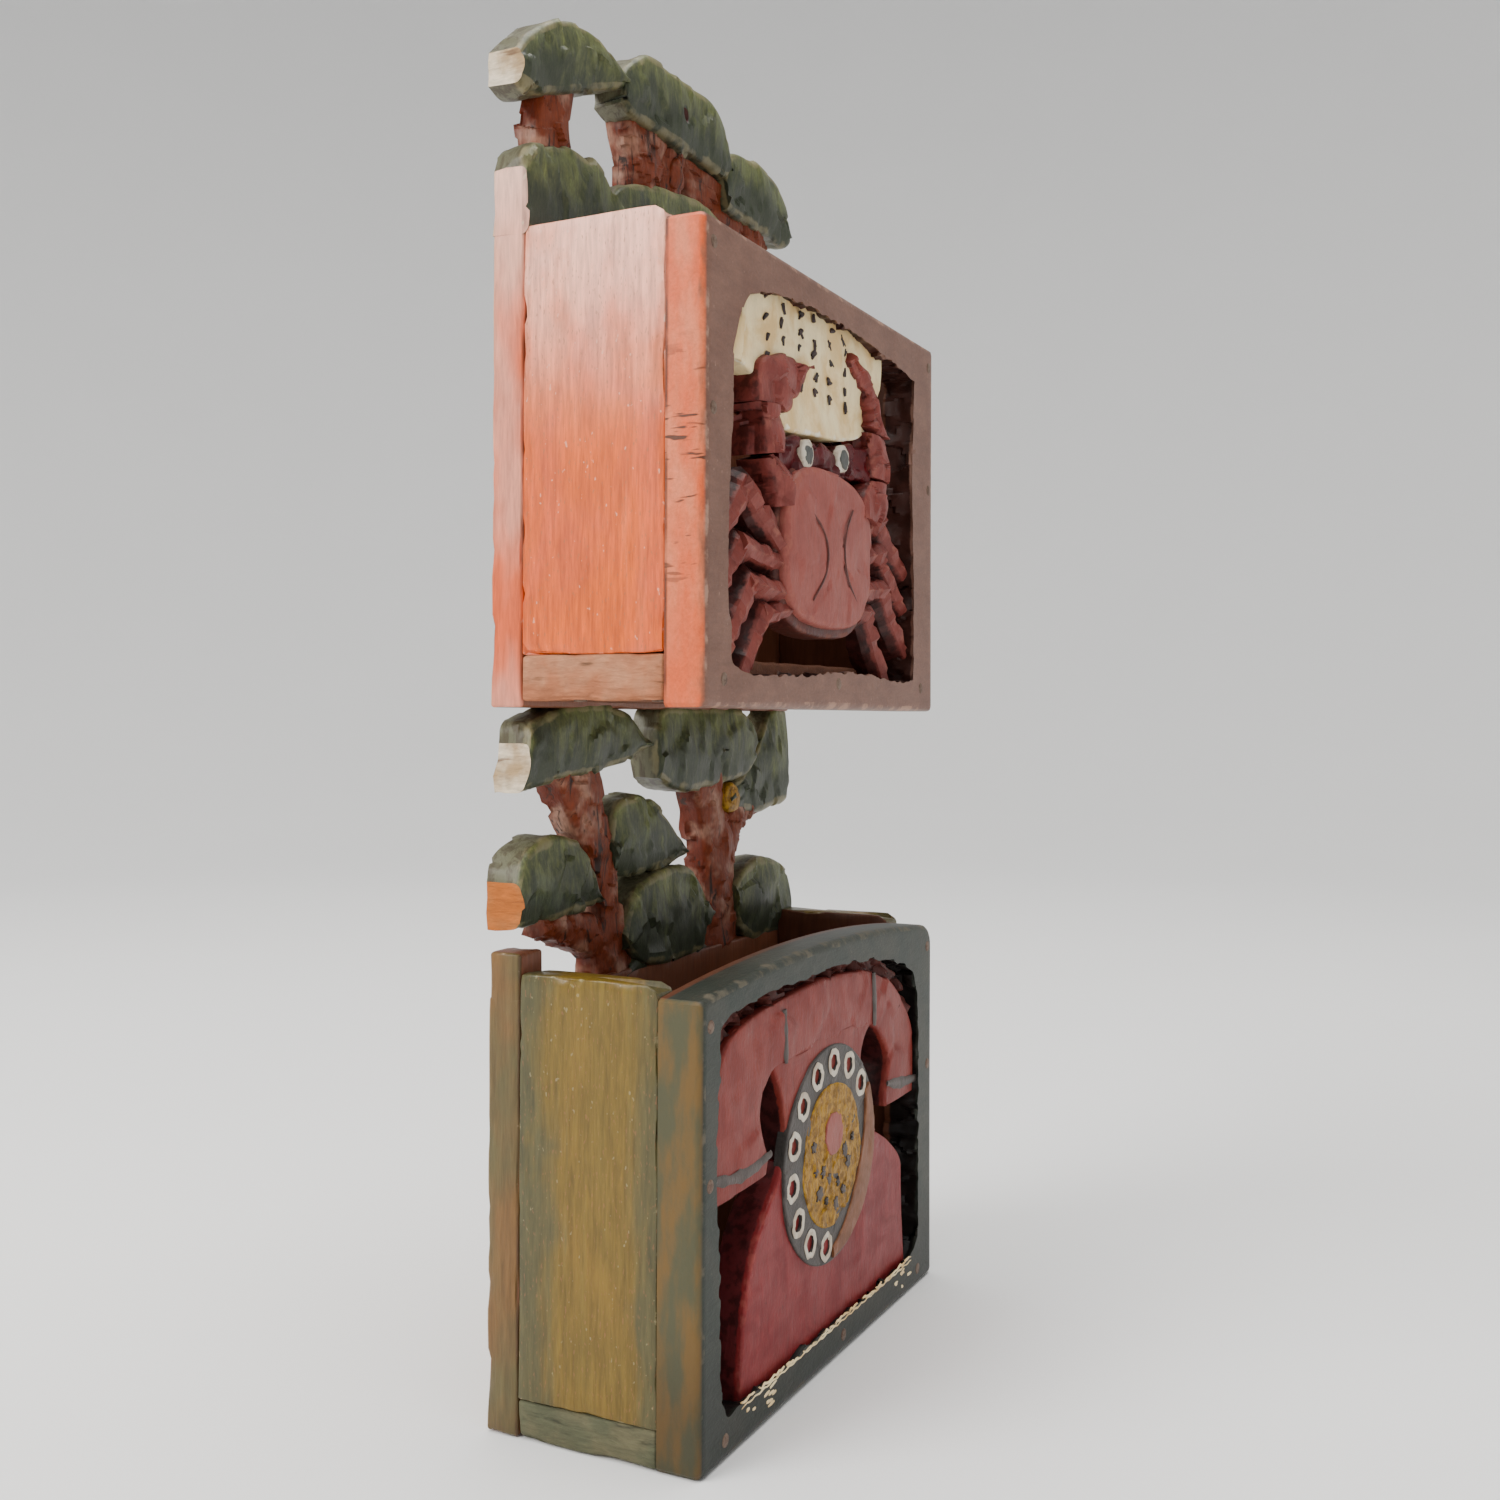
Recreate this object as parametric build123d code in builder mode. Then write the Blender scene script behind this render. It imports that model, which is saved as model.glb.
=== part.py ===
from build123d import *

import os
from math import atan2, degrees, hypot

# Two-pocket wall letter rack: nine painted boards held together with wire nails.
#
# One tall back board carries a lower and an upper pocket. Each pocket is a bottom board, two side
# boards and a pierced front panel, carved with a dial telephone below and a crab above. Between
# and above the pockets the back board is cut out into pine trees, and the highest crown holds the
# hanging hole.
#
# Frame: X to the right, Y towards the wall, Z up. The origin is on the base, midway across the
# width and the depth. Millimetres.

# ---- overall sizes ----
rack_width = 200.0
lower_pocket_depth = 50.0     # clear depth between the back board and the front panel
upper_pocket_depth = 51.5
lower_side_height = 133.0
upper_side_height = 136.0
tree_gap = 83.5               # lower side boards' top to the upper front panel's bottom edge
crest_height = 84.0           # upper side boards' top to the top of the highest crown

# ---- board thicknesses ----
back_thickness = 12.0
side_thickness = 11.0
lower_bottom_thickness = 12.0
upper_bottom_thickness = 14.5
lower_panel_thickness = 15.0
upper_panel_thickness = 13.5

# ---- edges ----
bottom_recess = 2.0           # the upper bottom board sits this far above the panel's lower edge
lower_panel_rise = 2.0        # crown of the lower panel's top edge above the side boards
lower_panel_shoulder = 4.0    # its outer ends are this far below the side boards' top
lower_panel_corner = 8.0
upper_panel_drop = 4.0        # the upper panel stops this far below the side boards' top
side_nose = 5.0               # rounding of a side board's top front corner
panel_edge_round = 2.5
stub_width = 13.0             # strip of the back board that stands up at the lower left corner
stub_rise = 6.0
back_shoulder_drop = 8.0      # the back board's lower edge line is this far below the side boards
back_corner = 3.0

# ---- openings in the front panels ----
crab_left_stile = 16.0
crab_right_stile = 22.0
crab_bottom_rail = 11.5
crab_top_rail = 10.0
phone_left_stile = 12.0
phone_right_stile = 16.0
phone_bottom_rail = 12.0
phone_top_rail = 9.0
carving_recess = 2.0          # the carved figures lie this far behind the panel's face
back_web = 4.0                # thin wood left at the back where a figure meets its frame
scroll_recess = 5.5
eye_proud = 1.2               # the crab's eyes stand this far out of their stalk band

# ---- hanging hole ----
hanging_hole_radius = 2.75
hanging_hole_offset = 2.5     # from the middle of the rack
hanging_hole_drop = 13.5      # below the top of the highest crown

# ---- nails ----
nail_length = 32.0
nail_radius = 0.9
nail_head_radius = 2.0
nail_head_thickness = 0.8
nail_point = 3.0
nail_clear = 6.0              # wood left between crossing nails and at a board's end
under_nail_reach = 14.0       # the two nails under each side board, from the pocket's middle
lower_bottom_nail_x = (-84.0, 8.0, 84.0)      # into the bottom board, at the nominal width
upper_bottom_nail_x = (-86.0, 2.0, 86.0)
nominal_width = 200.0

# ---- places worked out from the sizes ----
half_width = rack_width / 2
total_depth = back_thickness + max(lower_pocket_depth + lower_panel_thickness,
                                   upper_pocket_depth + upper_panel_thickness)
back_y = total_depth / 2
pocket_back_y = back_y - back_thickness
lower_panel_back_y = pocket_back_y - lower_pocket_depth
upper_panel_back_y = pocket_back_y - upper_pocket_depth
lower_side_top = lower_bottom_thickness + lower_side_height
upper_panel_bottom = lower_side_top + tree_gap
upper_bottom_base = upper_panel_bottom + bottom_recess
upper_side_base = upper_bottom_base + upper_bottom_thickness
upper_side_top = upper_side_base + upper_side_height
upper_panel_height = upper_side_top - upper_panel_drop - upper_panel_bottom
lower_panel_height = lower_side_top + lower_panel_rise
rack_height = upper_side_top + crest_height
back_lower_top = lower_side_top - back_shoulder_drop


def upright(y):
    """A vertical sketch plane at depth y, seen from the front: X right, Z up, normal to -Y."""
    return Plane.XZ.offset(-y)


class Field:
    """A drawing that is stretched to fill its place on a board.

    Points are given on a sheet of the drawn size, with X from the sheet's middle and Z from its
    lower edge, and at() gives them on the board.
    """

    def __init__(self, left, right, bottom, top, drawn_width, drawn_height):
        self.middle = (left + right) / 2
        self.bottom = bottom
        self.scale_x = (right - left) / drawn_width
        self.scale_z = (top - bottom) / drawn_height

    def at(self, x, z):
        return (self.middle + x * self.scale_x, self.bottom + z * self.scale_z)

    def all(self, points):
        return [self.at(x, z) for x, z in points]


def polygon(points):
    """A straight-sided closed face in the current sketch."""
    with BuildLine() as outline:
        Polyline(*points, close=True)
    make_face(outline.edges())


def blob(points):
    """A closed face with a smooth outline through the points."""
    with BuildLine() as outline:
        Spline(*points, periodic=True)
    make_face(outline.edges())


def crown(top, underside=()):
    """A tree crown: a smooth dome through the top points, closed by a straight-cut underside."""
    with BuildLine() as outline:
        Spline(*top)
        Polyline(top[-1], *underside, top[0])
    make_face(outline.edges())


def block(points, rounding):
    """A straight-sided closed face with rounded corners, as for the squarer crowns."""
    with BuildLine() as outline:
        FilletPolyline(*points, radius=rounding, close=True)
    make_face(outline.edges())


def limb(points, width):
    """A bent bar of constant width with round ends, as for the legs."""
    for (x0, z0), (x1, z1) in zip(points, points[1:]):
        with Locations(((x0 + x1) / 2, (z0 + z1) / 2)):
            SlotCenterToCenter(hypot(x1 - x0, z1 - z0), width,
                               rotation=degrees(atan2(z1 - z0, x1 - x0)))


# ---- nails: one wire nail lying along its own Z, head on top, and the groups that use it ----
with BuildPart() as wire_nail:
    with BuildSketch(Plane.XZ):
        with BuildLine():
            Polyline((0, 0), (nail_head_radius, 0), (nail_head_radius, -nail_head_thickness),
                     (nail_radius, -nail_head_thickness),
                     (nail_radius, nail_point - nail_length), (0, -nail_length), close=True)
        make_face()
    revolve(axis=Axis.Z)

front_face_turn = (90, 0, 0)      # head towards -Y
back_face_turn = (-90, 0, 0)      # head towards +Y
under_face_turn = (180, 0, 0)     # head towards -Z
side_x = half_width - side_thickness / 2


def nail_group(label, places, turn):
    """Nails of one joint, all driven the same way, as separate solids of one node."""
    with BuildPart() as group:
        with Locations(*[Location(place, turn) for place in places]):
            add(wire_nail.part)
    group.part.label = label
    return group.part


def pocket_nails(name, panel_face_y, side_top, bottom_z, base_z, bottom_nail_x):
    """The front, back and under nails of one pocket."""
    lowest = base_z + nail_length + nail_clear
    highest = side_top - 2 * nail_clear
    heights = [lowest, (lowest + highest) / 2, highest]
    into_sides = [(x, z) for x in (-side_x, side_x) for z in heights]
    into_bottom = [(x * rack_width / nominal_width, bottom_z) for x in bottom_nail_x]
    middle_y = (pocket_back_y + panel_face_y) / 2
    under = [(x, middle_y + step, base_z) for x in (-side_x, side_x)
             for step in (-under_nail_reach, under_nail_reach)]
    return [
        nail_group(name + "_front_nails",
                   [(x, panel_face_y, z) for x, z in into_sides[1::3] + into_sides[2::3] + into_bottom],
                   front_face_turn),
        nail_group(name + "_back_nails",
                   [(x, back_y, z) for x, z in into_sides + into_bottom], back_face_turn),
        nail_group(name + "_bottom_nails", under, under_face_turn),
    ]


lower_panel_face_y = lower_panel_back_y - lower_panel_thickness
upper_panel_face_y = upper_panel_back_y - upper_panel_thickness
lower_nails = pocket_nails("lower", lower_panel_face_y, lower_side_top,
                           lower_bottom_thickness / 2, 0.0, lower_bottom_nail_x)
upper_nails = pocket_nails("upper", upper_panel_face_y, upper_side_top,
                           upper_bottom_base + upper_bottom_thickness / 2, upper_bottom_base,
                           upper_bottom_nail_x)


# ---- bottom and side boards ----
def bottom_board(label, depth, thickness, base_z, nails):
    """A full-width board whose end grain shows at both sides."""
    with BuildPart() as board:
        with BuildSketch(Plane.XY.offset(base_z)):
            with Locations((0, pocket_back_y - depth / 2)):
                Rectangle(rack_width, depth)
        extrude(amount=thickness)
        for group in nails:
            add(group, mode=Mode.SUBTRACT)
    board.part.label = label
    return board.part


def side_board(label, hand, depth, base_z, height, nails):
    """A side board, standing on the bottom board, with its top front corner rounded over."""
    inner_x = hand * half_width - hand * side_thickness
    front_y = pocket_back_y - depth
    with BuildPart() as board:
        with BuildSketch(Plane.YZ.offset(min(inner_x, hand * half_width))):
            with Locations((pocket_back_y - depth / 2, base_z + height / 2)):
                Rectangle(depth, height)
            front_top = [v for v in vertices() if v.X < front_y + 1 and v.Y > base_z + height - 1]
            fillet(front_top, side_nose)
        extrude(amount=side_thickness)
        for group in nails:
            add(group, mode=Mode.SUBTRACT)
    board.part.label = label
    return board.part


lower_bottom = bottom_board("lower_bottom", lower_pocket_depth, lower_bottom_thickness, 0.0,
                            lower_nails)
upper_bottom = bottom_board("upper_bottom", upper_pocket_depth, upper_bottom_thickness,
                            upper_bottom_base, upper_nails)
side_boards = []
for side_name, hand in (("left", -1), ("right", 1)):
    side_boards.append(side_board(f"lower_{side_name}_side", hand, lower_pocket_depth,
                                  lower_bottom_thickness, lower_side_height, lower_nails))
    side_boards.append(side_board(f"upper_{side_name}_side", hand, upper_pocket_depth,
                                  upper_side_base, upper_side_height, upper_nails))

# ---- lower front panel: a dial telephone, cut right through around its outline ----
phone = Field(-half_width + phone_left_stile, half_width - phone_right_stile,
              phone_bottom_rail, lower_panel_height - phone_top_rail, 172, 126)
phone_opening = phone.all([(-82, 0), (82, 0), (86, 8), (86, 92), (82, 110), (66, 119), (20, 125),
                           (-28, 126), (-82, 121), (-86, 108), (-86, 10)])
phone_body = phone.all([(-69, -3), (72, -3), (72, 17), (68, 38), (60, 48), (45, 58), (34, 64),
                        (-34, 64), (-45, 58), (-58, 47), (-66, 36), (-69, 17)])
handset_top = phone.all([(-87, 68), (-87, 88), (-74, 105), (-48, 117), (0, 122), (50, 117),
                         (75, 105), (87, 88), (87, 68)])
handset_underside = phone.all([(50, 68), (47, 73), (54, 80), (56, 90), (50, 98), (40, 101),
                               (-40, 101), (-50, 98), (-56, 90), (-54, 80), (-47, 73), (-50, 68)])
handset_root = phone.all([(-40, 112), (40, 112), (40, 128), (-40, 128)])
dial_centre = phone.at(1.5, 59.5)
dial_radius = 38.0
dial_proud = 0.8
finger_holes = 10
finger_hole_inset = 6.0
finger_hole_radius = 2.6
finger_hole_depth = 3.0
first_finger_angle = 38
finger_sweep = 223

with BuildPart() as lower_front_panel:
    with BuildSketch(upright(lower_panel_back_y)) as lower_blank:
        with BuildLine():
            shoulder_z = lower_side_top - lower_panel_shoulder
            ThreePointArc((-half_width, shoulder_z), (0, lower_panel_height),
                          (half_width, shoulder_z))
            Polyline((half_width, shoulder_z), (half_width, 0), (-half_width, 0),
                     (-half_width, shoulder_z))
        make_face()
        crest_corner = lower_blank.vertices().group_by(Axis.Y)[-1].sort_by(Axis.X)[-1]
        fillet(crest_corner, lower_panel_corner)
    extrude(amount=lower_panel_thickness)
    upright_edges = [e for e in lower_front_panel.edges().filter_by(Axis.Z)
                     if abs(e.center().Y - lower_panel_face_y) < 0.1]
    fillet(upright_edges, panel_edge_round)
    with BuildSketch(upright(lower_panel_back_y)):
        polygon(phone_opening)
    extrude(amount=lower_panel_thickness, mode=Mode.SUBTRACT)
    with BuildSketch(upright(lower_panel_back_y)):
        polygon(phone_body)
        crown(handset_top, handset_underside)
        with Locations(dial_centre):
            Circle(dial_radius)
    extrude(amount=lower_panel_thickness - carving_recess)
    with BuildSketch(upright(lower_panel_face_y + carving_recess)):
        with Locations(dial_centre):
            Circle(dial_radius)
    extrude(amount=dial_proud)
    with BuildSketch(upright(lower_panel_back_y)):
        polygon(handset_root)
    extrude(amount=back_web)
    with BuildSketch(upright(lower_panel_face_y + carving_recess - dial_proud)):
        with Locations(dial_centre):
            with PolarLocations(dial_radius - finger_hole_inset, finger_holes,
                                start_angle=first_finger_angle, angular_range=finger_sweep,
                                endpoint=True):
                Circle(finger_hole_radius)
    extrude(amount=-finger_hole_depth, mode=Mode.SUBTRACT)
    for lower_group in lower_nails:
        add(lower_group, mode=Mode.SUBTRACT)
lower_front_panel.part.label = "lower_front_panel"

# ---- upper front panel: a crab in front of an unrolled scroll, cut right through between ----
crab = Field(-half_width + crab_left_stile, half_width - crab_right_stile,
             upper_panel_bottom + crab_bottom_rail,
             upper_panel_bottom + upper_panel_height - crab_top_rail, 162, 127)
crab_opening = crab.all([(-74, 0), (78, 0), (81, 4), (81, 116), (78, 121), (44, 125), (-34, 125),
                         (-66, 117), (-78, 100), (-81, 50), (-81, 12)])
left_legs = [[(-34, 50), (-55, 61), (-83, 41)],
             [(-34, 42), (-53, 42), (-79, 19)],
             [(-34, 30), (-53, 22), (-81, 3)],
             [(-28, 22), (-50, 6), (-64, -2)]]
right_legs = [[(38, 52), (62, 61), (83, 38)],
              [(40, 44), (58, 42), (84, 20)],
              [(38, 32), (56, 32), (84, 6)],
              [(32, 26), (54, 18), (68, -2)]]
leg_width = 8.5
left_claw = [(-34, 60), (-46, 62), (-56, 74), (-60, 92), (-52, 101), (-20, 108), (-24, 102),
             (-35, 98), (-38, 88), (-36, 74), (-30, 66)]
right_claw = [(34, 60), (54, 62), (60, 78), (57, 96), (50, 112), (40, 117), (20, 114), (32, 108),
              (34, 98), (32, 80), (36, 70)]
carapace = [(-36, 44), (-34, 28), (-22, 19), (2, 17), (26, 20), (37, 30), (40, 45), (37, 60),
            (24, 69), (2, 72), (-20, 70), (-33, 60)]
eye_band = [(-36, 60), (40, 60), (40, 82), (-36, 80)]
scroll = [(-68, 96), (-40, 88), (0, 84), (30, 88), (60, 104), (62, 130), (-70, 130)]
eye_places = [(-14, 78), (16, 80)]
eye_radius = 6.0
eye_depth = 4.0

with BuildPart() as upper_front_panel:
    with BuildSketch(upright(upper_panel_back_y)):
        with Locations((0, upper_panel_bottom + upper_panel_height / 2)):
            Rectangle(rack_width, upper_panel_height)
    extrude(amount=upper_panel_thickness)
    upright_edges = [e for e in upper_front_panel.edges().filter_by(Axis.Z)
                     if abs(e.center().Y - upper_panel_face_y) < 0.1]
    fillet(upright_edges, panel_edge_round)
    with BuildSketch(upright(upper_panel_back_y)):
        polygon(crab_opening)
    extrude(amount=upper_panel_thickness, mode=Mode.SUBTRACT)
    with BuildSketch(upright(upper_panel_back_y)):
        polygon(crab.all(scroll))
    extrude(amount=upper_panel_thickness - scroll_recess)
    with BuildSketch(upright(upper_panel_back_y)):
        polygon(crab.all(eye_band))
        for leg in left_legs + right_legs:
            limb(crab.all(leg), leg_width)
    extrude(amount=upper_panel_thickness - carving_recess - eye_proud)
    with BuildSketch(upright(upper_panel_back_y)):
        blob(crab.all(carapace))
        polygon(crab.all(left_claw))
        polygon(crab.all(right_claw))
    extrude(amount=upper_panel_thickness - carving_recess)
    with BuildSketch(upright(upper_panel_face_y + carving_recess + eye_depth - eye_proud)):
        with Locations(*crab.all(eye_places)):
            Circle(eye_radius)
    extrude(amount=eye_depth)
    for upper_group in upper_nails:
        add(upper_group, mode=Mode.SUBTRACT)
upper_front_panel.part.label = "upper_front_panel"

# ---- back board: solid behind the pockets, pine trees between and above them ----
grove = Field(-half_width, half_width, back_lower_top, upper_panel_bottom, 200, 91.5)
crest = Field(-half_width, half_width, upper_side_top, rack_height, 200, 84)
middle_trunks = [
    [(-44, -2), (-24, -2), (-30, 12), (-36, 26), (-42, 48), (-48, 70), (-76, 70), (-60, 44),
     (-46, 22), (-48, 10)],
    [(-40, 0), (-34, 12), (-56, 20), (-80, 24), (-80, 18), (-64, 10)],
    [(26, -2), (56, -2), (54, 22), (60, 40), (78, 48), (74, 54), (48, 46), (36, 64), (8, 66),
     (10, 58), (26, 38), (30, 20)],
]
middle_crowns = [
    ([(-100, 38), (-92, 47), (-80, 50), (-66, 47), (-56, 38), (-50, 26)], [(-74, 22), (-100, 21)]),
    ([(-92, 84), (-84, 90), (-70, 93), (-46, 93), (-32, 89), (-18, 80)],
     [(-30, 73), (-50, 69), (-92, 65)]),
    ([(-43, 48), (-40, 57), (-30, 61), (-16, 59), (0, 50), (10, 38)], [(-10, 34), (-38, 32)]),
    ([(-37, 13), (-28, 26), (-10, 33), (6, 33), (18, 26), (28, 14)], [(24, 0), (-24, 0)]),
    ([(-12, 86), (-4, 93), (40, 93), (66, 90), (74, 78)], [(70, 66), (20, 61), (-12, 64)]),
    ([(42, 56), (46, 62), (60, 66), (80, 84), (88, 93), (100, 93)], [(100, 52), (70, 50)]),
    ([(51, 22), (60, 28), (80, 31), (94, 27), (100, 24)], [(100, -2), (62, -2), (52, 8)]),
]
grove_mound = [(-30, -2), (-20, 6), (0, 8), (20, 4), (30, -2)]
crest_trunks = [
    [(-86, 28), (-70, 28), (-68, 56), (-84, 56)],
    [(-24, 32), (-6, 32), (-2, 58), (-30, 58)],
    [(-6, 36), (8, 36), (10, 58), (-8, 58)],
    [(20, 34), (70, 36), (64, 54), (12, 56)],
    [(60, 30), (88, 30), (78, 52), (60, 52)],
]
crest_crowns = [
    ([(-100, 20), (-90, 29), (-70, 34), (-50, 31), (-40, 24)], [(-40, -2), (-100, -2)]),
    ([(-46, 28), (-30, 35), (-10, 40), (12, 43), (44, 41), (78, 36), (100, 26)],
     [(100, -2), (-46, -2)]),
    ([(-100, 58), (-90, 67), (-78, 75), (-66, 78), (-54, 77), (-38, 71)],
     [(-38, 66), (-60, 56), (-74, 51), (-100, 40)]),
    ([(40, 62), (44, 71), (66, 73), (85, 72), (95, 64), (100, 52)], [(96, 46), (44, 47)]),
]
top_crown = [(-39, 62), (-39, 73), (-24, 84), (30, 84), (44, 69), (44, 58), (-30, 58)]
top_crown_rounding = 4.0
top_crown_root = [(-40, 62), (-24, 57), (-38, 48), (-58, 52), (-50, 58)]

with BuildPart() as back_board:
    with BuildSketch(upright(back_y)):
        with Locations((0, back_lower_top / 2)):
            RectangleRounded(rack_width, back_lower_top, back_corner)
        with Locations((0, back_lower_top / 2 + back_corner)):
            Rectangle(rack_width, back_lower_top - 2 * back_corner)
        with Locations((-half_width + stub_width / 2, lower_side_top / 2 + stub_rise)):
            Rectangle(stub_width, lower_side_top)
        with Locations((0, (upper_panel_bottom + upper_side_top) / 2)):
            Rectangle(rack_width, upper_side_top - upper_panel_bottom)
        for trunk in middle_trunks:
            polygon(grove.all(trunk))
        for dome, underside in middle_crowns:
            crown(grove.all(dome), grove.all(underside))
        polygon(grove.all(grove_mound))
        for trunk in crest_trunks:
            polygon(crest.all(trunk))
        for dome, underside in crest_crowns:
            crown(crest.all(dome), crest.all(underside))
        block(crest.all(top_crown), top_crown_rounding)
        polygon(crest.all(top_crown_root))
    extrude(amount=back_thickness)
    with BuildSketch(upright(back_y)):
        with Locations((hanging_hole_offset, rack_height - hanging_hole_drop)):
            Circle(hanging_hole_radius)
    extrude(amount=back_thickness, mode=Mode.SUBTRACT)
    for group in lower_nails + upper_nails:
        add(group, mode=Mode.SUBTRACT)
back_board.part.label = "back_board"

# ---- one STEP file for each piece or group of like nails ----
pieces = [back_board.part, lower_front_panel.part, upper_front_panel.part, lower_bottom,
          upper_bottom, *side_boards, *lower_nails, *upper_nails]
os.makedirs("parts", exist_ok=True)
for piece in pieces:
    export_step(piece, f"parts/{piece.label}.step")
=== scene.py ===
"""Carved and painted surfaces of a two-pocket wall letter rack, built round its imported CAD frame."""

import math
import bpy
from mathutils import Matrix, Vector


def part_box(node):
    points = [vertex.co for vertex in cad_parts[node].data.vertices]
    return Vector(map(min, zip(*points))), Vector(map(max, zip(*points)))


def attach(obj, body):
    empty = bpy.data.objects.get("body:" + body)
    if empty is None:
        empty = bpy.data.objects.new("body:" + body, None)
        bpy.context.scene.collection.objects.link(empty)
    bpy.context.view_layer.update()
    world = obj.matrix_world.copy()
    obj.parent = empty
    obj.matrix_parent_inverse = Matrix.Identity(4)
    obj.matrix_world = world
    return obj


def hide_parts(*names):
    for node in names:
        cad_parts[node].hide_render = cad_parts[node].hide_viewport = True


bl_info = {
    "name": "Carved Letter Rack",
    "version": (1, 0, 0),
    "blender": (4, 5, 0),
    "location": "View3D > Sidebar > Letter Rack",
    "description": "Builds the carved, painted and worn surfaces of a wall letter rack",
    "category": "Object",
}

import bmesh
import bpy
import numpy as np
from bpy.props import FloatProperty, FloatVectorProperty, PointerProperty
from mathutils import Matrix, Vector

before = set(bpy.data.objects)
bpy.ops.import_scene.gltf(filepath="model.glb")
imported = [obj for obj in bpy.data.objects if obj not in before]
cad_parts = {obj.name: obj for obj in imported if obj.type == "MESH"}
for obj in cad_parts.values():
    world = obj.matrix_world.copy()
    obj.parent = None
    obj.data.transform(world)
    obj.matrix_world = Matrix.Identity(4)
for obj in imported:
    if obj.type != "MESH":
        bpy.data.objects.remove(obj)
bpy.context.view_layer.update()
MM = 0.001
BODY = "root"
SHARP_ANGLE = 38.0  # degrees; faces that meet more steeply keep a sharp edge


def node_box(node):
    """Lowest and highest corner of a CAD node, in millimetres."""
    low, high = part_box(node)
    return np.array(low) / MM, np.array(high) / MM


BACK_LOW, BACK_HIGH = node_box("back_board")
LOWER_LOW, LOWER_HIGH = node_box("lower_front_panel")
UPPER_LOW, UPPER_HIGH = node_box("upper_front_panel")
LOWER_TOP = node_box("lower_left_side")[1][2]
UPPER_TOP = node_box("upper_left_side")[1][2]
BACK_Y = BACK_HIGH[1]
BOARD = BACK_HIGH[1] - BACK_LOW[1]
HALF = BACK_HIGH[0]

# The hanging hole, as in the CAD: its centre (x, z) and its radius.
HOLE_AT = (2.5, BACK_HIGH[2] - 13.5)
HOLE_RADIUS = 2.75

# The strip of back board that stands up beside the trees at the lower left.
STUB_WIDTH = 13.0
STUB_FOOT = LOWER_TOP - 16.0
STUB_TOP = LOWER_TOP + 6.0

# The front panels' corner radius, the rounding of their outer edges, how far the lower panel's top
# falls towards its corners, and the radius of the one corner that is worn round.
CORNER = 1.4
FRAME_EDGE = 2.5
LOWER_CREST = 6.0
WORN_CORNER = 8.0

# Where each drawing's own zero lies on the rack, as (x, z).
GROVE_AT = (0.0, LOWER_TOP - 8.0)
CREST_AT = (0.0, UPPER_TOP)
CRAB_AT = (-3.0, UPPER_LOW[2] + 11.5)
PHONE_AT = (-2.0, LOWER_LOW[2] + 12.0)

# How thick the front panels are, and how far their carved figures stand out from their backs.
UPPER_THICK = UPPER_HIGH[1] - UPPER_LOW[1]
LOWER_THICK = LOWER_HIGH[1] - LOWER_LOW[1]
CRAB_FACE = UPPER_THICK - 2.0
PHONE_FACE = LOWER_THICK - 2.0

# Each front panel's drawing zero, and the y from which its heights are measured forwards.
ON_UPPER = (CRAB_AT, UPPER_HIGH[1])
ON_LOWER = (PHONE_AT, LOWER_HIGH[1])


# ---------------------------------------------------------------- curves and surfaces

def smooth(points, count, closed=False):
    """Catmull-Rom curve through the points, evenly spread over them.

    Between p1 and p2 it is half of 2 p1 + (p2 - p0) t + (2 p0 - 5 p1 + 4 p2 - p3) t^2
    + (3 p1 - p0 - 3 p2 + p3) t^3.
    """
    p = np.asarray(points, float)
    if closed:
        p = np.vstack([p[-1:], p, p[:2]])
        t = np.linspace(0, len(points), count, endpoint=False)
    else:
        p = np.vstack([2 * p[:1] - p[1:2], p, 2 * p[-1:] - p[-2:-1]])
        t = np.linspace(0, len(points) - 1, count)
    k = np.minimum(t.astype(int), len(p) - 4)
    t = (t - k)[:, None]
    a, b, c, d = p[k], p[k + 1], p[k + 2], p[k + 3]
    return 0.5 * (2 * b + (c - a) * t + (2 * a - 5 * b + 4 * c - d) * t**2
                  + (3 * b - a - 3 * c + d) * t**3)


def straight(points, count, closed=False):
    """Points spread evenly by length along straight runs."""
    p = np.asarray(points, float)
    if closed:
        p = np.vstack([p, p[:1]])
    run = np.concatenate([[0], np.cumsum(np.linalg.norm(np.diff(p, axis=0), axis=1))])
    at = np.linspace(0, run[-1], count, endpoint=not closed)
    return np.stack([np.interp(at, run, p[:, i]) for i in range(p.shape[1])], axis=1)


def full_turn(count):
    """Angles evenly round a circle."""
    return np.linspace(0, 2 * np.pi, count, endpoint=False)


def unit(angles):
    """The points of the unit circle at the angles."""
    return np.stack([np.cos(angles), np.sin(angles)], axis=-1)


def raised(flat, out):
    """Points (x, z) at heights out, as (x, out, z)."""
    return np.stack([flat[..., 0], np.broadcast_to(out, flat.shape[:-1]), flat[..., 1]], axis=-1)


def sideways(line):
    """Unit vectors at right angles to a path, to its left."""
    along = np.gradient(line, axis=0)
    along /= np.maximum(np.linalg.norm(along, axis=1), 1e-9)[:, None]
    return np.stack([-along[:, 1], along[:, 0]], axis=1)


def ripple(p, size, seed):
    """Smooth unevenness between -1 and 1: a sum of six sine waves in random directions."""
    rng = np.random.default_rng(seed)
    ways = rng.normal(size=(6, p.shape[-1]))
    ways /= np.linalg.norm(ways, axis=1)[:, None]
    phase = rng.uniform(0, 2 * np.pi, 6)
    pitch = rng.uniform(0.7, 1.6, 6) * 2 * np.pi / size
    return np.sin(np.einsum("...k,jk->...j", p, ways * pitch[:, None]) + phase).mean(-1) * 1.6


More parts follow.
